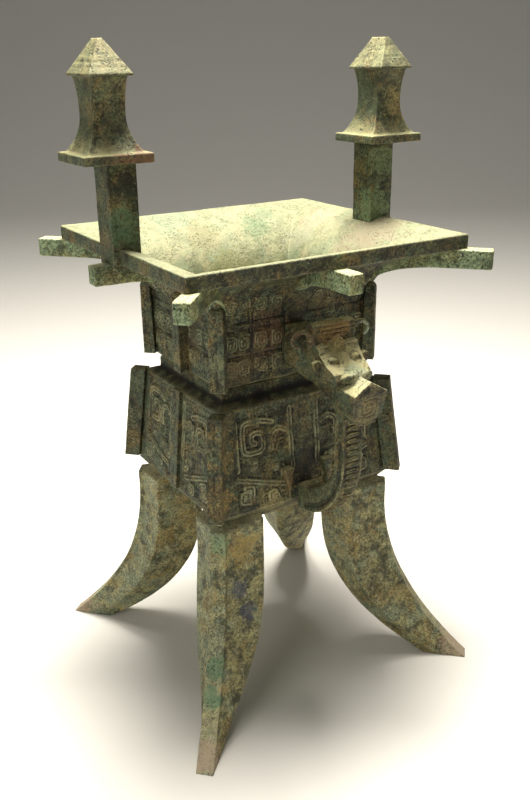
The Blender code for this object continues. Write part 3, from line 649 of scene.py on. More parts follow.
def between(start, end, share):
    return [a + (b - a) * share for a, b in zip(start, end)]


def rectangle(length, width, height, inset=0.0):
    x = length / 2 - inset
    y = width / 2 - inset
    return [(-x, -y, height), (x, -y, height), (x, y, height), (-x, y, height)]


def flare(start, end, low, high, stop, inset, endInset):
    # Quarter of an ellipse, from the upright neck out to the rim
    stop = radians(stop)
    levels = []
    for i in range(1, shell["flareSteps"] + 1):
        angle = stop * i / shell["flareSteps"]
        out = (1 - cos(angle)) / (1 - cos(stop))
        up = sin(angle) / sin(stop)
        length = start[0] / 2 - inset + (end[0] / 2 - endInset - start[0] / 2 + inset) * out
        width = start[1] / 2 - inset + (end[1] / 2 - endInset - start[1] / 2 + inset) * out
        levels.append(rectangle(length * 2, width * 2, low + (high - low) * up))
    return levels


def shellPiece(name, outside, inside, carved, carving, finish, ring=False):
    # Fine rows where the outside is carved, closer ones on a rim, coarse ones elsewhere
    levels = outside + inside
    steps = []
    for i, (low, high) in enumerate(zip(levels, levels[1:])):
        middle = (low[0][2] + high[0][2]) / 2
        fine = i + 1 < len(outside) and carved[0] < middle < carved[1]
        onRim = ring and 0 <= i - len(outside) + 2 <= 1
        steps.append(shell["fineStep"] if fine else shell["rimStep"] if onRim else shell["coarseStep"])
    stack = refined(levels, shell["sides"], steps)
    grid = stack["grid"]
    mesh = gridMesh(name, grid, ring)
    normals = readPoints(mesh, "normal").reshape(grid.shape)
    outward = (grid[..., :2] * normals[..., :2]).sum(axis=2) > 0
    height = np.zeros(grid.shape[:2])
    for side in range(4):
        columns = stack["side"] == side
        along = 0 if side % 2 == 0 else 1
        u = np.abs(grid[:, columns, along]) * 1000
        v = grid[:, columns, 2] * 1000
        height[:, columns] = carving(u, v, side) * outward[:, columns]
    castSurface(mesh, height.ravel())
    addPiece(name, mesh, finish)

    # Inner faces and the rim's top carry the pale crust of the mouth
    mesh.materials.append(finishes["mouth"])
    onTop = grid[..., 2] > shell["rimTop"] - shell["lip"] / 2
    onFloor = grid[..., 2] < shell["base"][2] + shell["floor"] * 1.5
    lining = ~outward | (normals[..., 2] > 0.6) & (onTop | onFloor)
    first = lining.ravel()[[face.vertices[0] for face in mesh.polygons]]
    mesh.polygons.foreach_set("material_index", first.astype(np.int32))


grooveDepth = 0.6  # millimetres that the groove between body and neck is drawn in; its low relief value also paints the groove dark, as painted shade
bodyMask = {
    "raise": 0.85,  # millimetres
    "line": 0.75,
    "fill": 0.85,
    "bandWidth": 4.2,
    "cell": 6.9,
    "foot": 146.0,
    "top": 216.5,
    "frame": 54.3,
    "ground": (148.4, 213.0),
    "rules": (214.0, 147.2),
    "grooveFrom": 217.2,
}


def bodyCarving(u, v, side):
    # A beast's mask: C horn, brow, eye, nose and hooked jaw on both sides of the middle
    look = bodyMask
    width = shell["edge"][side % 2] * 500 / 69.0
    half = look["frame"] * width - (v - look["foot"]).clip(0) * 0.05
    horn = [(24, 203.5), (33, 206), (44, 206), (46.6, 202), (46.6, 190), (44, 186), (36, 185.5), (32, 187.5),
            (31.6, 195), (34, 198), (39.5, 198), (40.2, 193.5), (37.5, 191.5)]
    nose = [(10.5, 210), (10.5, 180), (10, 170), (13, 164.5), (18, 166), (18, 171)]
    brow = [(14, 196), (20, 198.5), (25.5, 195), (25.5, 186)]
    jaw = [(15, 158.5), (25, 161), (40, 166), (53, 170)]
    tail = [(52, 176), (52, 208)]
    paths = [smoothPath([(x * width, z) for x, z in path]) for path in (horn, nose, brow, jaw, tail)]
    paths.append(squareSpiral((47 * width, 157), 11.5, 1.3, pi / 2, 1, 1.0))
    paths.append(squareSpiral((25 * width, 152), 8.0, 1.2, pi / 2, -1, 0.9))
    raised = together([band(u, v, path, look["bandWidth"]) for path in paths])
    cut = together([band(u, v, path, 0.8, 0.6) for path in paths])
    edge = together([band(u, v, path, look["bandWidth"] + 1.8) for path in paths]) * (1 - raised)

    # The eye: a squared socket with a low ball and a slit pupil
    eyePlace = (40 * width, 177)
    box = np.maximum(np.abs(u - eyePlace[0]) / 5.6, np.abs(v - eyePlace[1]) / 6.6)
    socket = box < 1
    slit = [(eyePlace[0] - 2, eyePlace[1]), (eyePlace[0] + 2, eyePlace[1])]
    eye = dome(u, v, eyePlace, (4.2, 4.6)) - 0.7 * band(u, v, slit, 1.0)
    cheek = dome(u, v, (22.5 * width, 171.5), (4.4, 3.2))

    fill = thunderFill(u, v, (7, 148), (54 * width, 212), look["cell"])
    height = look["raise"] * raised - look["line"] * cut * raised - 0.35 * edge
    height -= look["fill"] * fill * (1 - raised)
    height = np.where(socket, 0.9 * eye - 0.5 * line(box - 0.92, 0.12), height)
    height = np.where(cheek > 0, 0.9 * cheek - 0.2, height)
    low, high = look["ground"]
    inside = fade(half - u, 0.8) * fade(v - low, 0.8) * fade(high - v, 0.8)
    rules = together([band(u, v, [(0, z), (80, z)], 0.9) for z in look["rules"]])
    border = -0.5 * rules - 0.55 * line(u - half - 0.8, 0.8) * (v > 147)
    within = (v > look["foot"]) & (v < look["top"])
    # The drawn-in groove below the neck gets low relief, which paints it dark as painted shade
    return ((height * inside + border) * within - grooveDepth * (v > look["grooveFrom"])) / 1000


neckBand = {
    "raise": 0.85,
    "line": 0.95,
    "fill": 0.75,
    "cell": 6.4,
    "split": 33.0,
    "outer": 54.0,
    "nearMiddle": 7.0,
    "foot": 229.8,
    "bend": 268.0,
    "top": 294.0,
    "ground": (231.0, 300.0),
    "bars": (248.6, 265.5, 270.2),
    "grooveTo": 229.0,
}


def bladeEdge(x, outer, top):
    # One side of a blade: upright, then bending in to a point
    reach = outer - x
    bend = [(outer - reach * 0.08, 276), (outer - reach * 0.35, 287)]
    return smoothPath([(outer, 231), (outer, 262), *bend, (x, top)])


def neckCarving(u, v, side):
    # Upright blades side by side round the neck and flare, each filled with squared scrolls
    look = neckBand
    width = shell["neckLow"][side % 2] * 500 / 57.0
    u = u - (v - look["bend"]).clip(0) * 0.12
    lines = []
    scrolls = []
    for low, high in ((look["nearMiddle"], look["split"]), (look["split"], look["outer"])):
        x = (low + high) / 2 * width
        reach = (high - low) / 2 * width - 0.8
        lines += [bladeEdge(x, x + reach, look["top"]), bladeEdge(x, x - reach, look["top"])]
        for z, size, turns in ((240.5, 8.6, 1.5), (257, 8.2, 1.6), (281, 7.6, 1.7)):
            for way in (-1, 1):
                place = (x + way * reach * 0.48, z)
                scrolls.append(squareSpiral(place, size, turns, 0 if way > 0 else pi, way, 1.25))
    edges = together([band(u, v, path, 1.1, 0.6) for path in lines])
    raised = together([band(u, v, path, 2.6, 0.7) for path in scrolls])
    cut = together([band(u, v, path, 0.8, 0.6) for path in scrolls])
    strokes = [[(a * width, z), (b * width, z)] for a, b in ((9, 31), (35, 52)) for z in look["bars"]]
    bars = together([band(u, v, path, 1.0, 0.7) for path in strokes])
    low, high = look["ground"]
    fill = thunderFill(u, v, (6, low), (look["outer"] * width, high), look["cell"])
    height = look["raise"] * raised - look["line"] * together([edges, cut * raised, bars])
    height -= look["fill"] * fill * (1 - together([raised, edges, bars]))
    rule = band(u, v, [(0, 230.6), (70, 230.6)], 0.9, 0.6)
    within = (v > look["foot"]) & (v < look["top"] + 4)
    inside = fade(look["outer"] * width + (v - look["bend"]).clip(0) * 0.9 - u, 0.8)
    # The drawn-in groove at the neck's foot gets low relief, which paints it dark as painted shade
    return ((height - 0.4 * rule) * within * inside - grooveDepth * (v < look["grooveTo"])) / 1000


def makeShell():
    wall = shell["wall"]
    outside = [rectangle(0.003, 0.003, shell["base"][2])]
    outside += [rectangle(*shell[key]) for key in ("base", "edge", "shoulder", "grooveLow", "grooveTop")]
    inside = [
        rectangle(*shell["grooveTop"][:2], shell["grooveTop"][2], wall),
        rectangle(*shell["grooveLow"][:2], shell["grooveLow"][2], wall),
        rectangle(*shell["shoulder"][:2], shell["shoulder"][2] - wall / 2, wall),
        rectangle(*shell["edge"][:2], shell["edge"][2] + wall / 4, wall),
        rectangle(*shell["base"][:2], shell["base"][2] + shell["floor"], wall),
        rectangle(0.003, 0.003, shell["base"][2] + shell["floor"]),
    ]
    carved = (shell["edge"][2], shell["shoulder"][2])
    shellPiece("lowerBody", outside, inside, carved, bodyCarving, "body")

    outside = [rectangle(*shell["grooveTop"]), rectangle(*shell["neckLow"]), rectangle(*shell["neckTop"])]
    outside += flare(shell["neckTop"], shell["rim"], shell["neckTop"][2], shell["rimLow"], 90, 0, 0)
    outside.append(rectangle(*shell["rim"], shell["rimTop"]))
    inside = flare(shell["neckTop"], shell["rim"], shell["neckTop"][2], shell["rimTop"], shell["mouthStop"],
                   wall, shell["lip"])[::-1]
    inside.append(rectangle(*shell["neckTop"], wall))
    inside.append(rectangle(*shell["neckLow"][:2], shell["neckLow"][2] + wall / 2, wall))
    inside.append(rectangle(*shell["grooveTop"][:2], shell["grooveTop"][2], wall))
    carved = (shell["neckLow"][2], neckBand["top"] / 1000 + 0.003)
    shellPiece("neckAndMouth", outside, inside, carved, neckCarving, "body", ring=True)


makeShell()
print("shell cast")


# Flanges: neck and body, at the corners and the middle of each wall but the front

flange = {
    "width": 0.010,
    "neckRise": 0.0066,
    "neckFoot": 0.2296,
    "neckTop": 0.283,
    "cornerRise": 0.0095,
    "cornerFoot": 0.1484,
    "bodyRise": 0.0026,
    "bodyFoot": 0.1467,
    "bodyTop": 0.2165,
    "inside": 0.002,
    "leanOut": 0.12,  # how far the neck flanges' inner side leans out above the neck
    "crown": 0.0045,
    "crownRows": 6,
    "crownDraw": 0.9,
    "neckHooks": 3,
    "bodyHooks": 4,
    "rowStep": 0.0010,
    "sides": (13, 16, 13, 16),
}
corners = ((-1, -1), (1, -1), (1, 1), (-1, 1))
middles = {"Left": (-1, 0), "Right": (1, 0), "Front": (0, -1), "Back": (0, 1)}


def flangeLevel(point, outward, rise, z, draw=0.0):
    # Level outline of a flange whose foot on the wall is point; draw pulls its outer face and sides in
    across = Vector((-outward.y, outward.x)) * (flange["width"] / 2 - draw / 2)
    inner = point - outward * (flange["inside"] - flange["leanOut"] * max(0.0, z - shell["neckTop"][2]))
    outer = point + outward * (rise - draw)
    outline = (inner + across, inner - across, outer - across, outer + across)
    return [(corner.x, corner.y, z) for corner in outline]


def flangeStack(foot, head, outward, rise, low, high, rounded):
    outward = Vector(outward).normalized()
    foot = Vector(foot)
    head = Vector(head)
    levels = [flangeLevel(foot, outward, rise, low)]
    if rounded:
        radius = flange["crown"]
        for i in range(flange["crownRows"] + 1):
            angle = pi / 2 * i / flange["crownRows"]
            z = high - radius * (1 - sin(angle))
            draw = radius * (1 - cos(angle)) * flange["crownDraw"]
            levels.append(flangeLevel(head, outward, rise, z, draw))
    else:
        levels.append(flangeLevel(head, outward, rise, high))
    return refined(levels, flange["sides"], flange["rowStep"])


def flangeCarving(stack, low, high, hooks):
    # A groove down the outer face, and hooked grooves on both cheeks
    grid = stack["grid"]
    height = np.zeros(grid.shape[:2])
    v = grid[..., 2] * 1000
    pitch = (high - low) * 1000 / hooks
    for side in range(4):
        columns = stack["side"] == side
        u = (np.tile(stack["share"][columns], (len(grid), 1)) - 0.5) * 10
        rise = v[:, columns] - low * 1000
        step = rise % pitch
        if side == 2:
            groove = fade(1.25 - np.abs(u), 1) * fade(pitch * 0.80 - np.abs(step - pitch * 0.5) * 2, 1.2)
            height[:, columns] = -0.55 * groove
        elif side in (1, 3):
            path = [(-4, pitch * 0.2), (1.5, pitch * 0.2), (1.5, pitch * 0.75), (-2, pitch * 0.75)]
            turned = u if side == 1 else -u
            height[:, columns] = -0.45 * band(turned, step, path, 0.9, 0.7)
    return height.ravel() / 1000


def flangePiece(name, stack, low, high, hooks):
    mesh = gridMesh(name, stack["grid"])
    castSurface(mesh, flangeCarving(stack, low, high, hooks))
    addPiece(name, mesh, "body")


def wallPlace(level, side):
    # The corner or middle of a wall at a level of the shell
    return [step * length / 2 for step, length in zip(side, shell[level])]


def makeFlanges():
    look = flange
    places = [(number, side, "corner") for number, side in enumerate(corners, 1)]
    places += [(name, side, "body") for name, side in middles.items() if name != "Front"]
    for name, side, kind in places:
        neck = wallPlace("neckLow", side)
        stack = flangeStack(neck, neck, side, look["neckRise"], look["neckFoot"], look["neckTop"], True)
        flangePiece(f"neckFlange{name}", stack, look["neckFoot"], look["neckTop"], look["neckHooks"])
        low = look[f"{kind}Foot"]
        high = look["bodyTop"]
        foot = wallPlace("edge", side)
        head = wallPlace("shoulder", side)
        stack = flangeStack(foot, head, side, look[f"{kind}Rise"], low, high, False)
        flangePiece(f"{kind}Flange{name}", stack, low, high, look["bodyHooks"])


makeFlanges()
print("flanges cast")


# Arms that carry the rim at the corners and the middle of each side

arm = {
    "width": 0.0104,
    "depth": 0.0125,
    "top": 0.3077,
    "archLength": 0.046,
    "archHeight": 0.019,
    "cornerReach": (0.0095, 0.0135),
    "sideReach": 0.0160,
    "start": -0.002,
    "endEdge": 0.0006,
    "clearance": 0.0012,
    "rows": 24,
    "step": 0.0010,
    "sides": (12, 14, 12, 14),
}


def clearMouth(grid, outward):
    # Moves points that would show inside the mouth out along the arm, into the flare's wall
    wall = shell["wall"]
    rise = (grid[..., 2] - shell["neckTop"][2]) / (shell["rimTop"] - shell["neckTop"][2])
    stop = radians(shell["mouthStop"])
    angle = np.arcsin(np.clip(rise, 0, 1) * sin(stop))
    out = (1 - np.cos(angle)) / (1 - cos(stop))
    need = np.full(out.shape, np.inf)
    for axis in range(2):
        low = shell["neckTop"][axis] / 2 - wall
        high = shell["rim"][axis] / 2 - shell["lip"]
        short = low + (high - low) * out + arm["clearance"] - np.abs(grid[..., axis])
        step = abs(outward[axis])
        need = np.minimum(need, np.where(short < 0, 0, short / step if step > 0.01 else np.inf))
    return grid + np.array(outward) * need[..., None]


def armSection(frameAxes, out, shrink=1.0):
    origin, outward, across = frameAxes
    under = arm["top"] - arm["depth"]
    bend = min(1.0, (out - arm["start"]) / arm["archLength"])
    arch = arm["archHeight"] * (1 - (1 - (1 - bend) ** 2) ** 0.5)
    low = under - arch
    middle = (arm["top"] + low) / 2
    half = (arm["top"] - low) / 2 * shrink
    wide = arm["width"] / 2 * shrink
    centre = origin + outward * out
    outline = ((-wide, -half), (wide, -half), (wide, half), (-wide, half))
    return [tuple(centre + across * x + Vector((0, 0, middle + z))) for x, z in outline]


def makeArm(name, place, step):
    outward = Vector((*step, 0)).normalized()
    run = Vector(step).length
    across = Vector((0, 0, 1)).cross(outward)
    axes = (Vector((*place, 0)), outward, across)
    start = arm["start"]
    length = run - arm["endEdge"] - start
    levels = [armSection(axes, start, 0.04)]
    levels += [armSection(axes, start + length * i / arm["rows"]) for i in range(arm["rows"] + 1)]
    levels += [armSection(axes, run, shrink) for shrink in (0.90, 0.6, 0.3, 0.04)]
    grid = clearMouth(refined(levels, arm["sides"], arm["step"])["grid"], outward)
    mesh = gridMesh(name, grid)
    offset = grid - np.array([*place, 0])
    out = offset @ np.array(outward)
    u = offset @ np.array(across) * 1000
    v = (grid[..., 2] - arm["top"] + arm["depth"] / 2) * 1000
    end = (out > run - 0.0004) * 1.0
    spiral = band(u, v, squareSpiral((0, 0), 7.6, 1.7), 1.1, 0.7)
    cheek = np.abs(np.abs(u) - 5.2) < 0.6
    tip = run * 1000 - 5
    hook = band(out * 1000, v, [(12, 0), (tip, 0), (tip, 3), (tip - 6, 3)], 1.0, 0.7)
    height = -0.65 * spiral * end - 0.45 * hook * cheek
    castSurface(mesh, height.ravel() / 1000)
    addPiece(name, mesh, "arm")


def makeArms():
    arms = [(f"cornerArm{number}", side, arm["cornerReach"]) for number, side in enumerate(corners, 1)]
    arms += [(f"arm{name}", side, (arm["sideReach"],) * 2) for name, side in middles.items()]
    for name, side, reach in arms:
        sizes = zip(side, shell["rim"], shell["neckLow"], reach)
        step = [s * (rim / 2 - neck / 2 + more) for s, rim, neck, more in sizes]
        makeArm(name, wallPlace("neckLow", side), step)


makeArms()
print("arms cast")


# Legs: a shaft that thins into a blade, with a raised strip down its outer corner

leg = {
    "top": 0.127,
    "shoulder": 0.137,
    "root": 0.1405,
    "rootInset": 0.0012,
    "outer": (0.070, 0.059),
    "inner": (0.0335, 0.030),
    "splay": (0.0424, 0.0506),
    "innerSplay": 0.0566,
    "outerBend": 2.2,
    "innerBend": 2.9,
    "taper": 3.3,
    "stripWidth": 0.0118,
    "stripRise": 0.0038,
    "levels": 34,
    "rowStep": 0.0010,
    "sides": (16, 26, 5, 14, 5, 26, 16, 8),
    "levelBias": 1.25,
    "edgeShare": 0.3,
    "wave": 1.3,
    "scrolls": (  # height, size and way round, in millimetres
        (122, 12, 1), (111, 11.5, -1), (100, 11, 1), (89, 10, -1), (79, 9, 1), (70, 7.5, -1), (62, 6, 1),
    ),
}


def legSection(z):
    drop = max(0.0, 1 - z / leg["top"])
    outer = Vector(leg["outer"]) + Vector(leg["splay"]) * drop ** leg["outerBend"]
    inner = Vector(leg["inner"]) + Vector((1, 1)) * leg["innerSplay"] * drop ** leg["innerBend"]
    along = (outer - inner).normalized()
    across = Vector((-along.y, along.x))
    middle = (outer + inner) / 2
    leftCorner = Vector((inner.x, outer.y))
    rightCorner = Vector((outer.x, inner.y))
    full = abs((leftCorner - middle).dot(across))
    half = leg["stripWidth"] / 2
    blade = drop ** leg["taper"]
    keep = (half + (full - half) * (1 - blade)) / full
    edge = half * (leg["edgeShare"] + (1 - leg["edgeShare"]) * blade)
    left = middle + (leftCorner - middle) * keep
    right = middle + (rightCorner - middle) * keep
    base = outer - along * leg["stripRise"]
    outline = [
        inner - across * edge, right,
        base - across * half, outer - across * half,
        outer + across * half, base + across * half,
        left, inner + across * edge,
    ]
    if z > leg["shoulder"]:
        # Drawn in to the belly's slope
        share = (z - shell["base"][2]) / (shell["edge"][2] - shell["base"][2])
        limit = [side / 2 - leg["rootInset"] for side in between(shell["base"][:2], shell["edge"][:2], share)]
        outline = [Vector((min(p.x, limit[0]), min(p.y, limit[1]))) for p in outline]
    return [(p.x, p.y, z) for p in outline]


def legCarving(stack):
    grid = stack["grid"]
    height = np.zeros(grid.shape[:2])
    starts = np.searchsorted(stack["side"], range(len(leg["sides"])))
    for side in (0, 1, 3, 5, 6):
        columns = stack["side"] == side
        first = grid[:, starts[side]]
        last = grid[:, starts[(side + 1) % 8]]
        width = np.linalg.norm(last - first, axis=1)[:, None] * 1000
        share = stack["share"][columns][None, :]
        u = (share - 0.5) * width
        v = np.broadcast_to(grid[:, columns, 2] * 1000, u.shape)
        if side == 5:
            u = -u
        if side in (1, 5):
            # Lines along both edges, and a leaf of worn scrolls that narrows downward
            off = np.abs(u)
            rim = line(off - width / 2 + 1.8, 0.6) * (v > 6) * (v < 132)
            reach = np.clip((v - 34) * 0.16, 0, 9.5)
            leaf = fade(np.minimum(width / 2 - 3.2, reach) - off, 0.8)
            outline = line(off - reach - 0.6, 0.6) * (v > 36) * (off < width / 2 - 2.6)
            covers = [band(u, v, [(0, 12), (0, 54)], 0.7, 0.6)]
            for z, size, way in leg["scrolls"]:
                covers.append(band(u, v, squareSpiral((0, z), size, 1.8, 0, way, 0.8), 0.8, 0.6))
            height[:, columns] = -0.34 * together(covers) * leaf - 0.22 * outline - 0.30 * rim
        elif side == 3:
            height[:, columns] = -0.35 * line(u + 0.4, 0.7) * (v > 10) * (v < 134)
        else:
            height[:, columns] = -0.35 * line(np.abs(u) - width / 2 + 2.6, 0.8) * (v > 8) * (v < 122)
    return height / 1000


def makeLegs():
    count = leg["levels"]
    heights = [leg["top"] * (i / count) ** leg["levelBias"] for i in range(count + 1)]
    levels = [legSection(z) for z in heights + [leg["shoulder"], leg["root"]]]
    stack = refined(levels, leg["sides"], leg["rowStep"])
    carved = legCarving(stack)
    for number, (sx, sy) in enumerate(corners, 1):
        grid = stack["grid"] * np.array([sx, sy, 1])
        height = carved
        if sx * sy < 0:
            grid = grid[:, ::-1]
            height = height[:, ::-1]
        mesh = gridMesh(f"leg{number}", grid)
        castSurface(mesh, height.ravel(), leg["wave"])
        addPiece(f"leg{number}", mesh, "leg")


makeLegs()
print("legs cast")


# Posts and their caps

post = {
    "size": (0.019, 0.0204),
    "centre": 0.097,
    "foot": 0.3051,
    "head": 0.3674,
    "sides": (24, 26, 24, 26),
    "rowStep": 0.00085,
}
cap = {
    "plate": (0.0438, 0.0416),
    "plateDepth": 0.0057,
    "margin": 0.004,
    "waist": (0.0202, 0.0216),
    "bell": 0.0224,
    "throat": 0.0190,
    "eaves": (0.0270, 0.0356),
    "roof": 0.0202,
    "ridgeWidth": 0.0030,
    "eavesInset": 0.0028,
    "sides": (44, 42, 44, 42),
    "rowStep": 0.0010,
    "bellRows": 12,
    "bellBend": 2.4,
    "throatRows": 8,
    "throatBend": 2.2,
    "edge": 0.0003,
    "courses": 6,
}


def sideCoordinates(stack, side, centre):
    columns = stack["side"] == side
    along = 0 if side % 2 == 0 else 1
    u = (stack["grid"][:, columns, along] - centre[along]) * 1000
    v = stack["grid"][:, columns, 2] * 1000
    return columns, u, v


def offsetRectangle(size, z, centre):
    return [(x + centre[0], y + centre[1], z) for x, y, z in rectangle(*size, z)]


def makePost(name, side):
    centre = (side * post["centre"], 0)
    levels = [offsetRectangle(post["size"], z, centre) for z in (post["foot"], post["head"] + 0.001)]
    stack = refined(levels, post["sides"], post["rowStep"])
    height = np.zeros(stack["grid"].shape[:2])
    frameLine = [(-5.6, 328), (-5.6, 361), (5.6, 361), (5.6, 328), (-5.6, 328)]
    hooks = [squareSpiral((0, z), 7.5, 1.6, 0, way, 1.1) for z, way in ((354, 1), (343.5, -1), (333.5, 1))]
    for face in range(4):
        columns, u, v = sideCoordinates(stack, face, centre)
        fill = together([band(u, v, path, 0.9, 0.7) for path in hooks])
        height[:, columns] = -0.35 * band(u, v, frameLine, 1.0, 0.7) - 0.25 * fill
    mesh = gridMesh(f"post{name}", stack["grid"])
    castSurface(mesh, height.ravel() / 1000)
    addPiece(f"post{name}", mesh, "body")


def makeCap(name, side, lean, ridge):
    look = cap
    centre = (side * (post["centre"] + lean), 0)
    z = post["head"]
    sizes = [((0.004, 0.004), z), (look["plate"], z), (look["plate"], z + look["plateDepth"])]
    z += look["plateDepth"]
    bell = [edge - 2 * look["margin"] for edge in look["plate"]]
    for i in range(look["bellRows"] + 1):
        share = i / look["bellRows"]
        size = between(look["waist"], bell, (1 - share) ** look["bellBend"])
        sizes.append((size, z + look["edge"] + look["bell"] * share))
    z += look["bell"]
    eaves = [edge - 2 * look["eavesInset"] for edge in look["eaves"]]
    for i in range(1, look["throatRows"] + 1):
        share = i / look["throatRows"]
        size = between(look["waist"], eaves, share ** look["throatBend"])
        sizes.append((size, z + look["edge"] + (look["throat"] - look["edge"]) * share))
    z += look["throat"]
    sizes.append((look["eaves"], z + 0.0004))
    sizes.append((look["eaves"], z + 0.0012))
    sizes.append(((look["ridgeWidth"], ridge), z + look["roof"]))
    levels = [offsetRectangle(size, height, centre) for size, height in sizes]
    stack = refined(levels, look["sides"], look["rowStep"])
    height = np.zeros(stack["grid"].shape[:2])
    foot = z * 1000
    for face in range(4):
        columns, u, v = sideCoordinates(stack, face, centre)
        pitch = look["roof"] * 1000 / look["courses"]
        step = (v - foot - 1.0) % pitch
        row = np.floor((v - foot - 1.0) / pitch)
        tiles = line((u + row * 1.6) % 3.2 - 1.6, 0.5) * (step > 0.9)
        roof = (v > foot + 1.2) & (v < foot + 17.5)
        height[:, columns] = (-0.24 * line(step, 0.9) - 0.12 * tiles) * roof
        bellTop = (z - look["throat"]) * 1000
        leafEdge = np.abs(u) - (4 + (bellTop - v).clip(0) * 0.42)
        bellArea = (v < bellTop - 1) & (v > post["head"] * 1000 + 8)
        height[:, columns] += -0.35 * line(leafEdge, 0.7) * bellArea
    mesh = gridMesh(f"cap{name}", stack["grid"])
    castSurface(mesh, height.ravel() / 1000)
    addPiece(f"cap{name}", mesh, "cap")


# The left roof has the shorter ridge, and the right cap stands closer in over its post
makePost("Left", -1)
makeCap("Left", -1, lean=0.0052, ridge=0.0090)
makePost("Right", 1)
makeCap("Right", 1, lean=0.0036, ridge=0.0145)
print("posts and caps cast")


# Handle: strap, beak and beast's head, melted into one skin

handle = {
    "strapWidth": 0.014,
    "strapThickness": 0.009,
    "strapFootDepth": 0.018,
    "strapReach": 0.1098,
    "strapRadius": 0.0508,
    "turnHeight": 0.189,
    "embed": 0.0015,
    "neckHalf": 0.047,
    "neckFoot": 0.228,
    "archRise": 0.0066,
    "beakTop": 0.2395,
    "beakHeight": 0.0215,
    "beakGable": 0.0078,
    "beakWidth": 0.025,
    "beakLowWidth": 0.019,
    "beakFront": 0.1258,
    "beakDepth": 0.0206,
    "beakLean": 0.0045,
    "headFoot": 0.2425,
    "headTop": 0.2745,
    "headWidth": 0.0312,
    "muzzleWidth": 0.0215,
    "muzzleReach": 0.1122,
    "foreheadReach": 0.0905,
    "headBack": 0.0800,
    "voxel": 0.00062,
    "rounding": 2,
    "wave": 0.6,
    "spur": (0.0120, 0.0078, 0.0240),  # distance from the middle, width, height
}


# Local X runs outward along -Y, local Y up, local Z along -X
sideways = Matrix(((0, 0, -1, 0), (-1, 0, 0, 0), (0, 1, 0, 0), (0, 0, 0, 1)))


def upright(place, side=1):
    # Local X along X, or against it on the left side, local Y up
    return Matrix.Translation(place) @ Matrix(((side, 0, 0, 0), (0, 0, -1, 0), (0, 1, 0, 0), (0, 0, 0, 1)))


def addPrism(bm, rings):
    # A closed body between two rings of corners
    first, second = [[bm.verts.new(point) for point in ring] for ring in rings]
    for i in range(len(first)):
        j = (i + 1) % len(first)
        bm.faces.new((first[i], first[j], second[j], second[i]))
    bm.faces.new(first[::-1])
    bm.faces.new(second)


def addSlab(bm, outline, thickness, place):
    # A flat outline in the place's XY plane, thickened evenly both ways
    addPrism(bm, [[place @ Vector((x, y, z)) for x, y in outline] for z in (-thickness / 2, thickness / 2)])


def addBall(bm, centre, radii, turn=0.0):
    matrix = Matrix.Translation(centre) @ Matrix.Rotation(turn, 4, "X") @ Matrix.Diagonal((*radii, 1))
    bmesh.ops.create_uvsphere(bm, u_segments=24, v_segments=16, radius=1, matrix=matrix)


def strapOutline():
    look = handle
    middle = look["strapReach"] - look["strapRadius"]
    inner = look["strapRadius"] - look["strapThickness"] - look["embed"]
    drop = look["strapRadius"] - look["strapFootDepth"]
    outerArc = []
    innerArc = []
    for i in range(17):
        angle = pi / 2 * i / 16
        x = cos(angle)
        z = sin(angle)
        outerArc.append((middle + look["strapRadius"] * x, look["turnHeight"] - look["strapRadius"] * z))
        innerArc.append((middle + inner * x, look["turnHeight"] - drop * z))
    innerFace = look["strapReach"] - look["strapThickness"]
    archLow = look["beakTop"] - look["beakHeight"]
    archHigh = look["neckFoot"] + look["archRise"]
    archIn = look["neckHalf"] + look["archRise"]
    arch = []
    for i in range(11):
        angle = pi / 2 * i / 10
        arch.append((archIn + (innerFace - archIn) * cos(angle), archLow + (archHigh - archLow) * sin(angle)))
    inside = look["neckHalf"] - look["embed"]
    top = look["headFoot"] + 0.004
    return [*outerArc, *innerArc[::-1], *arch, (inside, archHigh), (inside, top), (look["strapReach"], top)]


def addBeak(bm):
    look = handle
    top = look["beakWidth"] / 2
    low = look["beakLowWidth"] / 2
    foot = look["beakTop"] - look["beakHeight"]
    front = [(0, look["beakHeight"] + look["beakGable"]), (-top, look["beakHeight"])]
    front += [(-(top * 0.5 + low * 0.5), look["beakHeight"] * 0.35), (-low * 0.72, look["beakHeight"] * 0.06)]
    front += [(0, -0.0004)] + [(-x, z) for x, z in front[:0:-1]]
    rings = []
    for reach, share in ((look["beakFront"] - look["beakDepth"], 0.86), (look["beakFront"], 1.0)):
        ring = []
        for x, up in front:
            lean = look["beakLean"] * max(0.0, 1 - up / look["beakHeight"])
            ring.append((x * share, -(reach - lean), foot + up))
        rings.append(ring)
    addPrism(bm, rings)


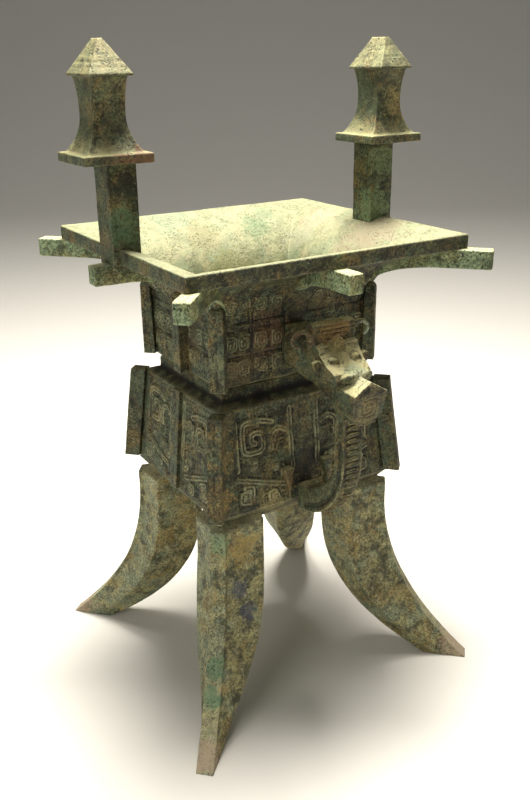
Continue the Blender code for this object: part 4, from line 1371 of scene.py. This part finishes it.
def addHead(bm):
    look = handle
    foot = look["headFoot"]
    brow = look["foreheadReach"] + 0.0030
    wall = look["neckHalf"] - 0.001
    throat = [
        (wall, look["neckFoot"] + 0.008), (0.088, foot), (0.088, 0.2650), (0.070, 0.2620), (wall, 0.2640),
    ]
    addSlab(bm, throat, 0.0170, sideways)
    addBall(bm, (0, -0.058, 0.250), (0.0140, 0.018, 0.0165))
    addBall(bm, (0, -0.076, 0.256), (0.0120, 0.020, 0.014))

    # The skull in profile, narrowed toward the muzzle
    first = len(bm.verts)
    muzzle = look["muzzleReach"]
    forehead = look["foreheadReach"]
    back = look["headBack"]
    top = look["headTop"]
    profile = [
        (back + 0.010, foot - 0.001), (look["strapReach"], foot - 0.001), (muzzle - 0.001, foot),
        (muzzle, foot + 0.0030), (muzzle - 0.0022, foot + 0.0070),
        (brow + 0.0075, foot + 0.0105), (brow + 0.0020, foot + 0.0150), (brow, foot + 0.0175),
        (brow - 0.0010, foot + 0.0190), (forehead - 0.0012, foot + 0.0200),
        (forehead - 0.0012, top - 0.0015), (forehead - 0.0035, top),
        (back + 0.0015, top), (back, top - 0.009),
    ]
    addSlab(bm, profile, look["headWidth"], sideways)
    bm.verts.ensure_lookup_table()
    for vert in bm.verts[first:]:
        share = min(1.0, max(0.0, (-vert.co.y - brow) / (muzzle - brow)))
        vert.co.x *= 1 - share * (1 - look["muzzleWidth"] / look["headWidth"])

    # Nose, nostrils, eyes, ears and the lozenge on the brow
    wide = look["muzzleWidth"] / 2
    addBall(bm, (0, -muzzle, foot + 0.0040), (wide + 0.0006, 0.0030, 0.0042))
    for side in (-1, 1):
        addBall(bm, (side * wide * 0.52, -(muzzle + 0.0016), foot + 0.0052), (0.0040, 0.0024, 0.0027))
        addBall(bm, (side * 0.0082, -(brow + 0.0056), foot + 0.0117), (0.0034, 0.0030, 0.0022), 0.6)
        ear = [(0, 0), (0.0055, 0.0030), (0.0066, 0.0078), (0.0030, 0.0092), (0.0, 0.0066)]
        place = upright((side * (look["headWidth"] / 2 - 0.001), -brow - 0.0015, foot + 0.0035), side)
        addSlab(bm, ear if side > 0 else ear[::-1], 0.0036, place)
    crest = [(0, 0.0058), (-0.0046, 0), (0, -0.0058), (0.0046, 0)]
    addSlab(bm, crest, 0.0036, upright((0, -brow + 0.0004, foot + 0.0200)))


def addSpurs(bm):
    # Two pointed tabs that hang beside the strap's foot
    near, wide, tall = handle["spur"]
    place = upright((0, -shell["edge"][1] / 2 + 0.0006, shell["edge"][2]))
    outline = [(near, tall), (near + wide * 0.25, tall * 0.45), (near + wide * 0.42, 0.001),
               (near + wide * 0.62, tall * 0.45), (near + wide, tall)]
    for side in (-1, 1):
        addSlab(bm, [(side * x, z) for x, z in outline], 0.0075, place)


def evaluatedMesh(draft):
    # The plain mesh that the draft's modifiers make; the draft itself goes
    graph = bpy.context.evaluated_depsgraph_get()
    mesh = bpy.data.meshes.new_from_object(draft.evaluated_get(graph))
    mesh.name = draft.name
    bpy.data.objects.remove(draft)
    return mesh


def meltedMesh(name, bm):
    # Joins overlapping forms into one closed skin and rounds it off
    bmesh.ops.recalc_face_normals(bm, faces=bm.faces)
    mesh = bpy.data.meshes.new(name)
    bm.to_mesh(mesh)
    bm.free()
    draft = bpy.data.objects.new(name, mesh)
    bpy.context.scene.collection.objects.link(draft)
    remesh = draft.modifiers.new("melt", "REMESH")
    remesh.mode = "VOXEL"
    remesh.voxel_size = handle["voxel"]
    smooth = draft.modifiers.new("round", "SMOOTH")
    smooth.iterations = handle["rounding"]
    smooth.factor = 0.5
    return evaluatedMesh(draft)


def handleCarving(points, normals):
    x, y, z = (points * 1000).T
    forward = normals[:, 1] < -0.45
    upward = normals[:, 2] > 0.35
    beak = (y < -120) & forward
    height = -0.55 * band(x, z, squareSpiral((0, 230.5), 13.5, 2.1, -pi / 2), 1.1, 0.8) * beak
    rim = [(0, 219.5), (-8, 222), (-10.5, 237.5), (0, 244.5), (10.5, 237.5), (8, 222), (0, 219.5)]
    height -= 0.4 * band(x, z, rim, 0.9, 0.7) * beak
    forehead = (z > 263.5) & (z < 273.5) & forward & (np.abs(x) < 14.5)
    height -= 0.80 * line((z - 263.5) % 2.6 - 1.3, 0.7) * forehead
    face = (y < -93) & (z > 244) & (forward | upward)
    for side in (-1, 1):
        distance = np.hypot((x - side * 8.2) / 3.7, (z - 254.2) / 2.3)
        height -= 0.50 * line(distance - 1, 0.26) * face
        nostril = np.hypot((x - side * 5.8) / 1.5, (z - 247.6) / 1.3)
        height -= 0.8 * line(nostril, 1) * (y < -112)
    mouthLine = (np.abs(z - 243.6) < 0.8) & (y < -100) & (y > -112.5) & (np.abs(normals[:, 0]) > 0.5)
    height -= 0.5 * mouthLine
    strap = (z < 217) & (z > 150) & (normals[:, 1] < -0.3) & (y < -80)
    height -= 0.45 * fade(5.9 - np.abs(x), 0.6) * strap
    cheek = (np.abs(normals[:, 0]) > 0.7) & (z < 216)
    middle = (handle["strapReach"] - handle["strapRadius"]) * 1000
    turn = handle["turnHeight"] * 1000
    radius = np.where(z < turn, np.hypot(-y - middle, z - turn), -y - middle)
    centreLine = handle["strapRadius"] * 1000 - handle["strapThickness"] * 500 - 0.5
    offset = np.abs(radius - centreLine)
    height += (0.3 * (offset > 3.0) - 0.7 * fade(2.2 - offset, 0.8)) * cheek * (-y > 66) * (offset < 5)
    return height / 1000


def makeHandle():
    bm = bmesh.new()
    addSlab(bm, strapOutline(), handle["strapWidth"], sideways)
    addBeak(bm)
    addHead(bm)
    addSpurs(bm)
    mesh = meltedMesh("handleAndHead", bm)
    castSurface(mesh, handleCarving(readPoints(mesh), readPoints(mesh, "normal")), handle["wave"])
    addPiece("handleAndHead", mesh, "handle")


makeHandle()
print("handle and head cast")


# Ribs on the strap and horns beside the forehead, laid along lines by geometry nodes

ribs = {
    "count": 21,
    "spacing": 0.0041,
    "halfLength": 0.0049,
    "halfWidth": 0.00145,
    "rise": 0.00125,
}
horns = {
    "centre": (0.0222, -0.0850, 0.2655),
    "radii": (0.0078, 0.0060),
    "thickness": 0.0022,
    "tip": 0.45,
}


class Growth(Nodes):
    # A geometry-node group that starts from the object's own lines, with named inputs
    def __init__(self, name, inputs):
        super().__init__(bpy.data.node_groups.new(name, "GeometryNodeTree"))
        face = self.tree.interface
        face.new_socket("Lines", in_out="INPUT", socket_type="NodeSocketGeometry")
        for label, kind in inputs.items():
            face.new_socket(label, in_out="INPUT", socket_type=f"NodeSocket{kind}")
        face.new_socket("Geometry", in_out="OUTPUT", socket_type="NodeSocketGeometry")
        given = self.tree.nodes.new("NodeGroupInput")
        self.given = {socket.name: Tint(self, socket) for socket in given.outputs}

    def finish(self, geometry):
        real = self.node("GeometryNodeRealizeInstances", {}, {"Geometry": geometry})
        inputs = {"Geometry": real, "Material": self.given["Material"]}
        painted = self.node("GeometryNodeSetMaterial", {}, inputs)
        self.give(self.tree.nodes.new("NodeGroupOutput").inputs[0], painted)
        return self.tree


def ribGrowth():
    kinds = {"Count": "Int", "Rib Size": "Vector", "Material": "Material"}
    growth = Growth("ribsAlongLine", kinds)
    given = growth.given
    line = growth.node("GeometryNodeMeshToCurve", {}, {"Mesh": given["Lines"]})
    count = {"Curve": line, "Count": given["Count"]}
    spread = growth.node("GeometryNodeCurveToPoints", {"mode": "COUNT"}, count)
    tangent = Tint(growth, spread.socket.node.outputs["Tangent"])
    settings = {"axis": "Z", "pivot_axis": "X"}
    turn = growth.node("FunctionNodeAlignRotationToVector", settings, {"Vector": tangent})
    ball = growth.node("GeometryNodeMeshUVSphere", {}, {"Segments": 20, "Rings": 12, "Radius": 1.0})
    placed = {"Points": spread, "Instance": ball, "Rotation": turn, "Scale": given["Rib Size"]}
    return growth.finish(growth.node("GeometryNodeInstanceOnPoints", {}, placed))


def hornGrowth():
    kinds = {"Thickness": "Float", "Tip": "Float", "Material": "Material"}
    growth = Growth("hornAlongLine", kinds)
    given = growth.given
    line = growth.node("GeometryNodeMeshToCurve", {}, {"Mesh": given["Lines"]})
    along = growth.node("GeometryNodeSplineParameter", {}, {})
    taper = growth.node("ShaderNodeMapRange", {}, {"Value": along, "To Min": 1.0, "To Max": given["Tip"]})
    circle = {"Resolution": 14, "Radius": given["Thickness"]}
    profile = growth.node("GeometryNodeCurvePrimitiveCircle", {"mode": "RADIUS"}, circle)
    swept = {"Curve": line, "Profile Curve": profile, "Scale": taper, "Fill Caps": True}
    return growth.finish(growth.node("GeometryNodeCurveToMesh", {}, swept))


def grownPiece(name, lines, group, values, finish):
    # lines is a list of point lists, each a line for the group to follow
    points = [point for line in lines for point in line]
    edges = []
    start = 0
    for line in lines:
        edges += [(start + i, start + i + 1) for i in range(len(line) - 1)]
        start += len(line)
    guide = bpy.data.meshes.new(name)
    guide.from_pydata(points, edges, [])
    draft = bpy.data.objects.new(name, guide)
    bpy.context.scene.collection.objects.link(draft)
    modifier = draft.modifiers.new("growth", "NODES")
    modifier.node_group = group
    values = dict(values, Material=finishes[finish])
    for item in group.interface.items_tree:
        if item.in_out == "INPUT" and item.name in values:
            modifier[item.identifier] = values[item.name]
    mesh = evaluatedMesh(draft)
    castSurface(mesh, wave=handle["wave"] / 2)
    addPiece(name, mesh, finish)


def makeRibs():
    # Down the strap's outer face and round its turn
    look = handle
    middle = look["strapReach"] - look["strapRadius"]
    top = look["beakTop"] - look["beakHeight"] - 0.0016
    points = []
    for i in range(ribs["count"]):
        fall = ribs["spacing"] * i
        angle = max(0.0, (fall - (top - look["turnHeight"])) / look["strapRadius"])
        z = max(top - fall, look["turnHeight"])
        points.append((0, -(middle + look["strapRadius"] * cos(angle)), z - look["strapRadius"] * sin(angle)))
    size = (ribs["halfLength"], ribs["rise"], ribs["halfWidth"])
    grownPiece("strapRibs", [points], ribGrowth(), {"Count": ribs["count"], "Rib Size": size}, "handle")


def makeHorns():
    # C scrolls that open downward, one on each side
    lines = []
    x, y, z = horns["centre"]
    for side in (-1, 1):
        line = []
        for i in range(25):
            angle = pi * (1.10 - 1.45 * i / 24)
            wide, tall = [radius * (1 - 0.30 * i / 24) for radius in horns["radii"]]
            line.append((side * (x + wide * cos(angle)), y, z + tall * sin(angle)))
        lines.append(line)
    sizes = {"Thickness": horns["thickness"], "Tip": horns["tip"]}
    grownPiece("headHorns", lines, hornGrowth(), sizes, "handle")


makeRibs()
makeHorns()
print("ribs and horns laid")


# Floor and light

room = {
    "near": -2.6,  # metres along the view, from the vessel
    "far": 3.4,
    "bend": 1.4,
    "height": 5.0,
    "halfWidth": 5.5,
    "floorColour": (0.90, 0.87, 0.80),
    "floorShade": (0.86, 0.83, 0.76),
    "skyColour": (0.62, 0.63, 0.64),
    "skyStrength": 0.17,
    "lightColour": (1.0, 0.965, 0.90),
    "lights": {
        "topLight": {"place": (0.05, 0.10, 1.25), "aim": (0, 0, 0.1), "size": 0.45, "power": 34},
        "leftLight": {"place": (-1.3, -0.6, 0.9), "aim": (0, 0, 0.15), "size": 0.7, "power": 5},
    },
}


def makeFloor():
    # A floor that bends up into a backdrop behind the vessel, square to the view
    look = room
    profile = [(look["near"], 0), (look["far"] - look["bend"], 0)]
    for i in range(1, 25):
        angle = pi / 2 * i / 24
        profile.append((look["far"] - look["bend"] * (1 - sin(angle)), look["bend"] * (1 - cos(angle))))
    profile.append((look["far"], look["height"]))
    turn = radians(view["azimuth"])
    points = []
    for along, z in profile:
        for across in (-look["halfWidth"], look["halfWidth"]):
            x = across * cos(turn) - along * sin(turn)
            y = across * sin(turn) + along * cos(turn)
            points.append((x, y, z))
    faces = [(2 * i, 2 * i + 1, 2 * i + 3, 2 * i + 2) for i in range(len(profile) - 1)]
    mesh = bpy.data.meshes.new("floor")
    mesh.from_pydata(points, [], faces)
    mesh.shade_smooth()
    floor = bpy.data.objects.new("floor", mesh)
    bpy.context.scene.collection.objects.link(floor)
    paint = Paint("floorPaint")
    tone = paint.mix(paint.cloud(3).between(0.3, 0.7) * 0.2, look["floorColour"], look["floorShade"])
    paint.use(Base_Color=tone, Roughness=0.8)
    mesh.materials.append(paint.material)


def makeLights():
    world = bpy.data.worlds.new("room")
    bpy.context.scene.world = world
    world.use_nodes = True
    background = world.node_tree.nodes["Background"]
    background.inputs[0].default_value = (*room["skyColour"], 1)
    background.inputs[1].default_value = room["skyStrength"]
    for name, look in room["lights"].items():
        data = bpy.data.lights.new(name, "AREA")
        data.size = look["size"]
        data.energy = look["power"]
        data.color = room["lightColour"]
        light = bpy.data.objects.new(name, data)
        light.location = look["place"]
        direction = Vector(look["aim"]) - Vector(look["place"])
        light.rotation_euler = direction.to_track_quat("-Z", "Y").to_euler()
        bpy.context.scene.collection.objects.link(light)


makeFloor()
makeLights()
bpy.context.scene.view_settings.view_transform = "Standard"
print("room lit")
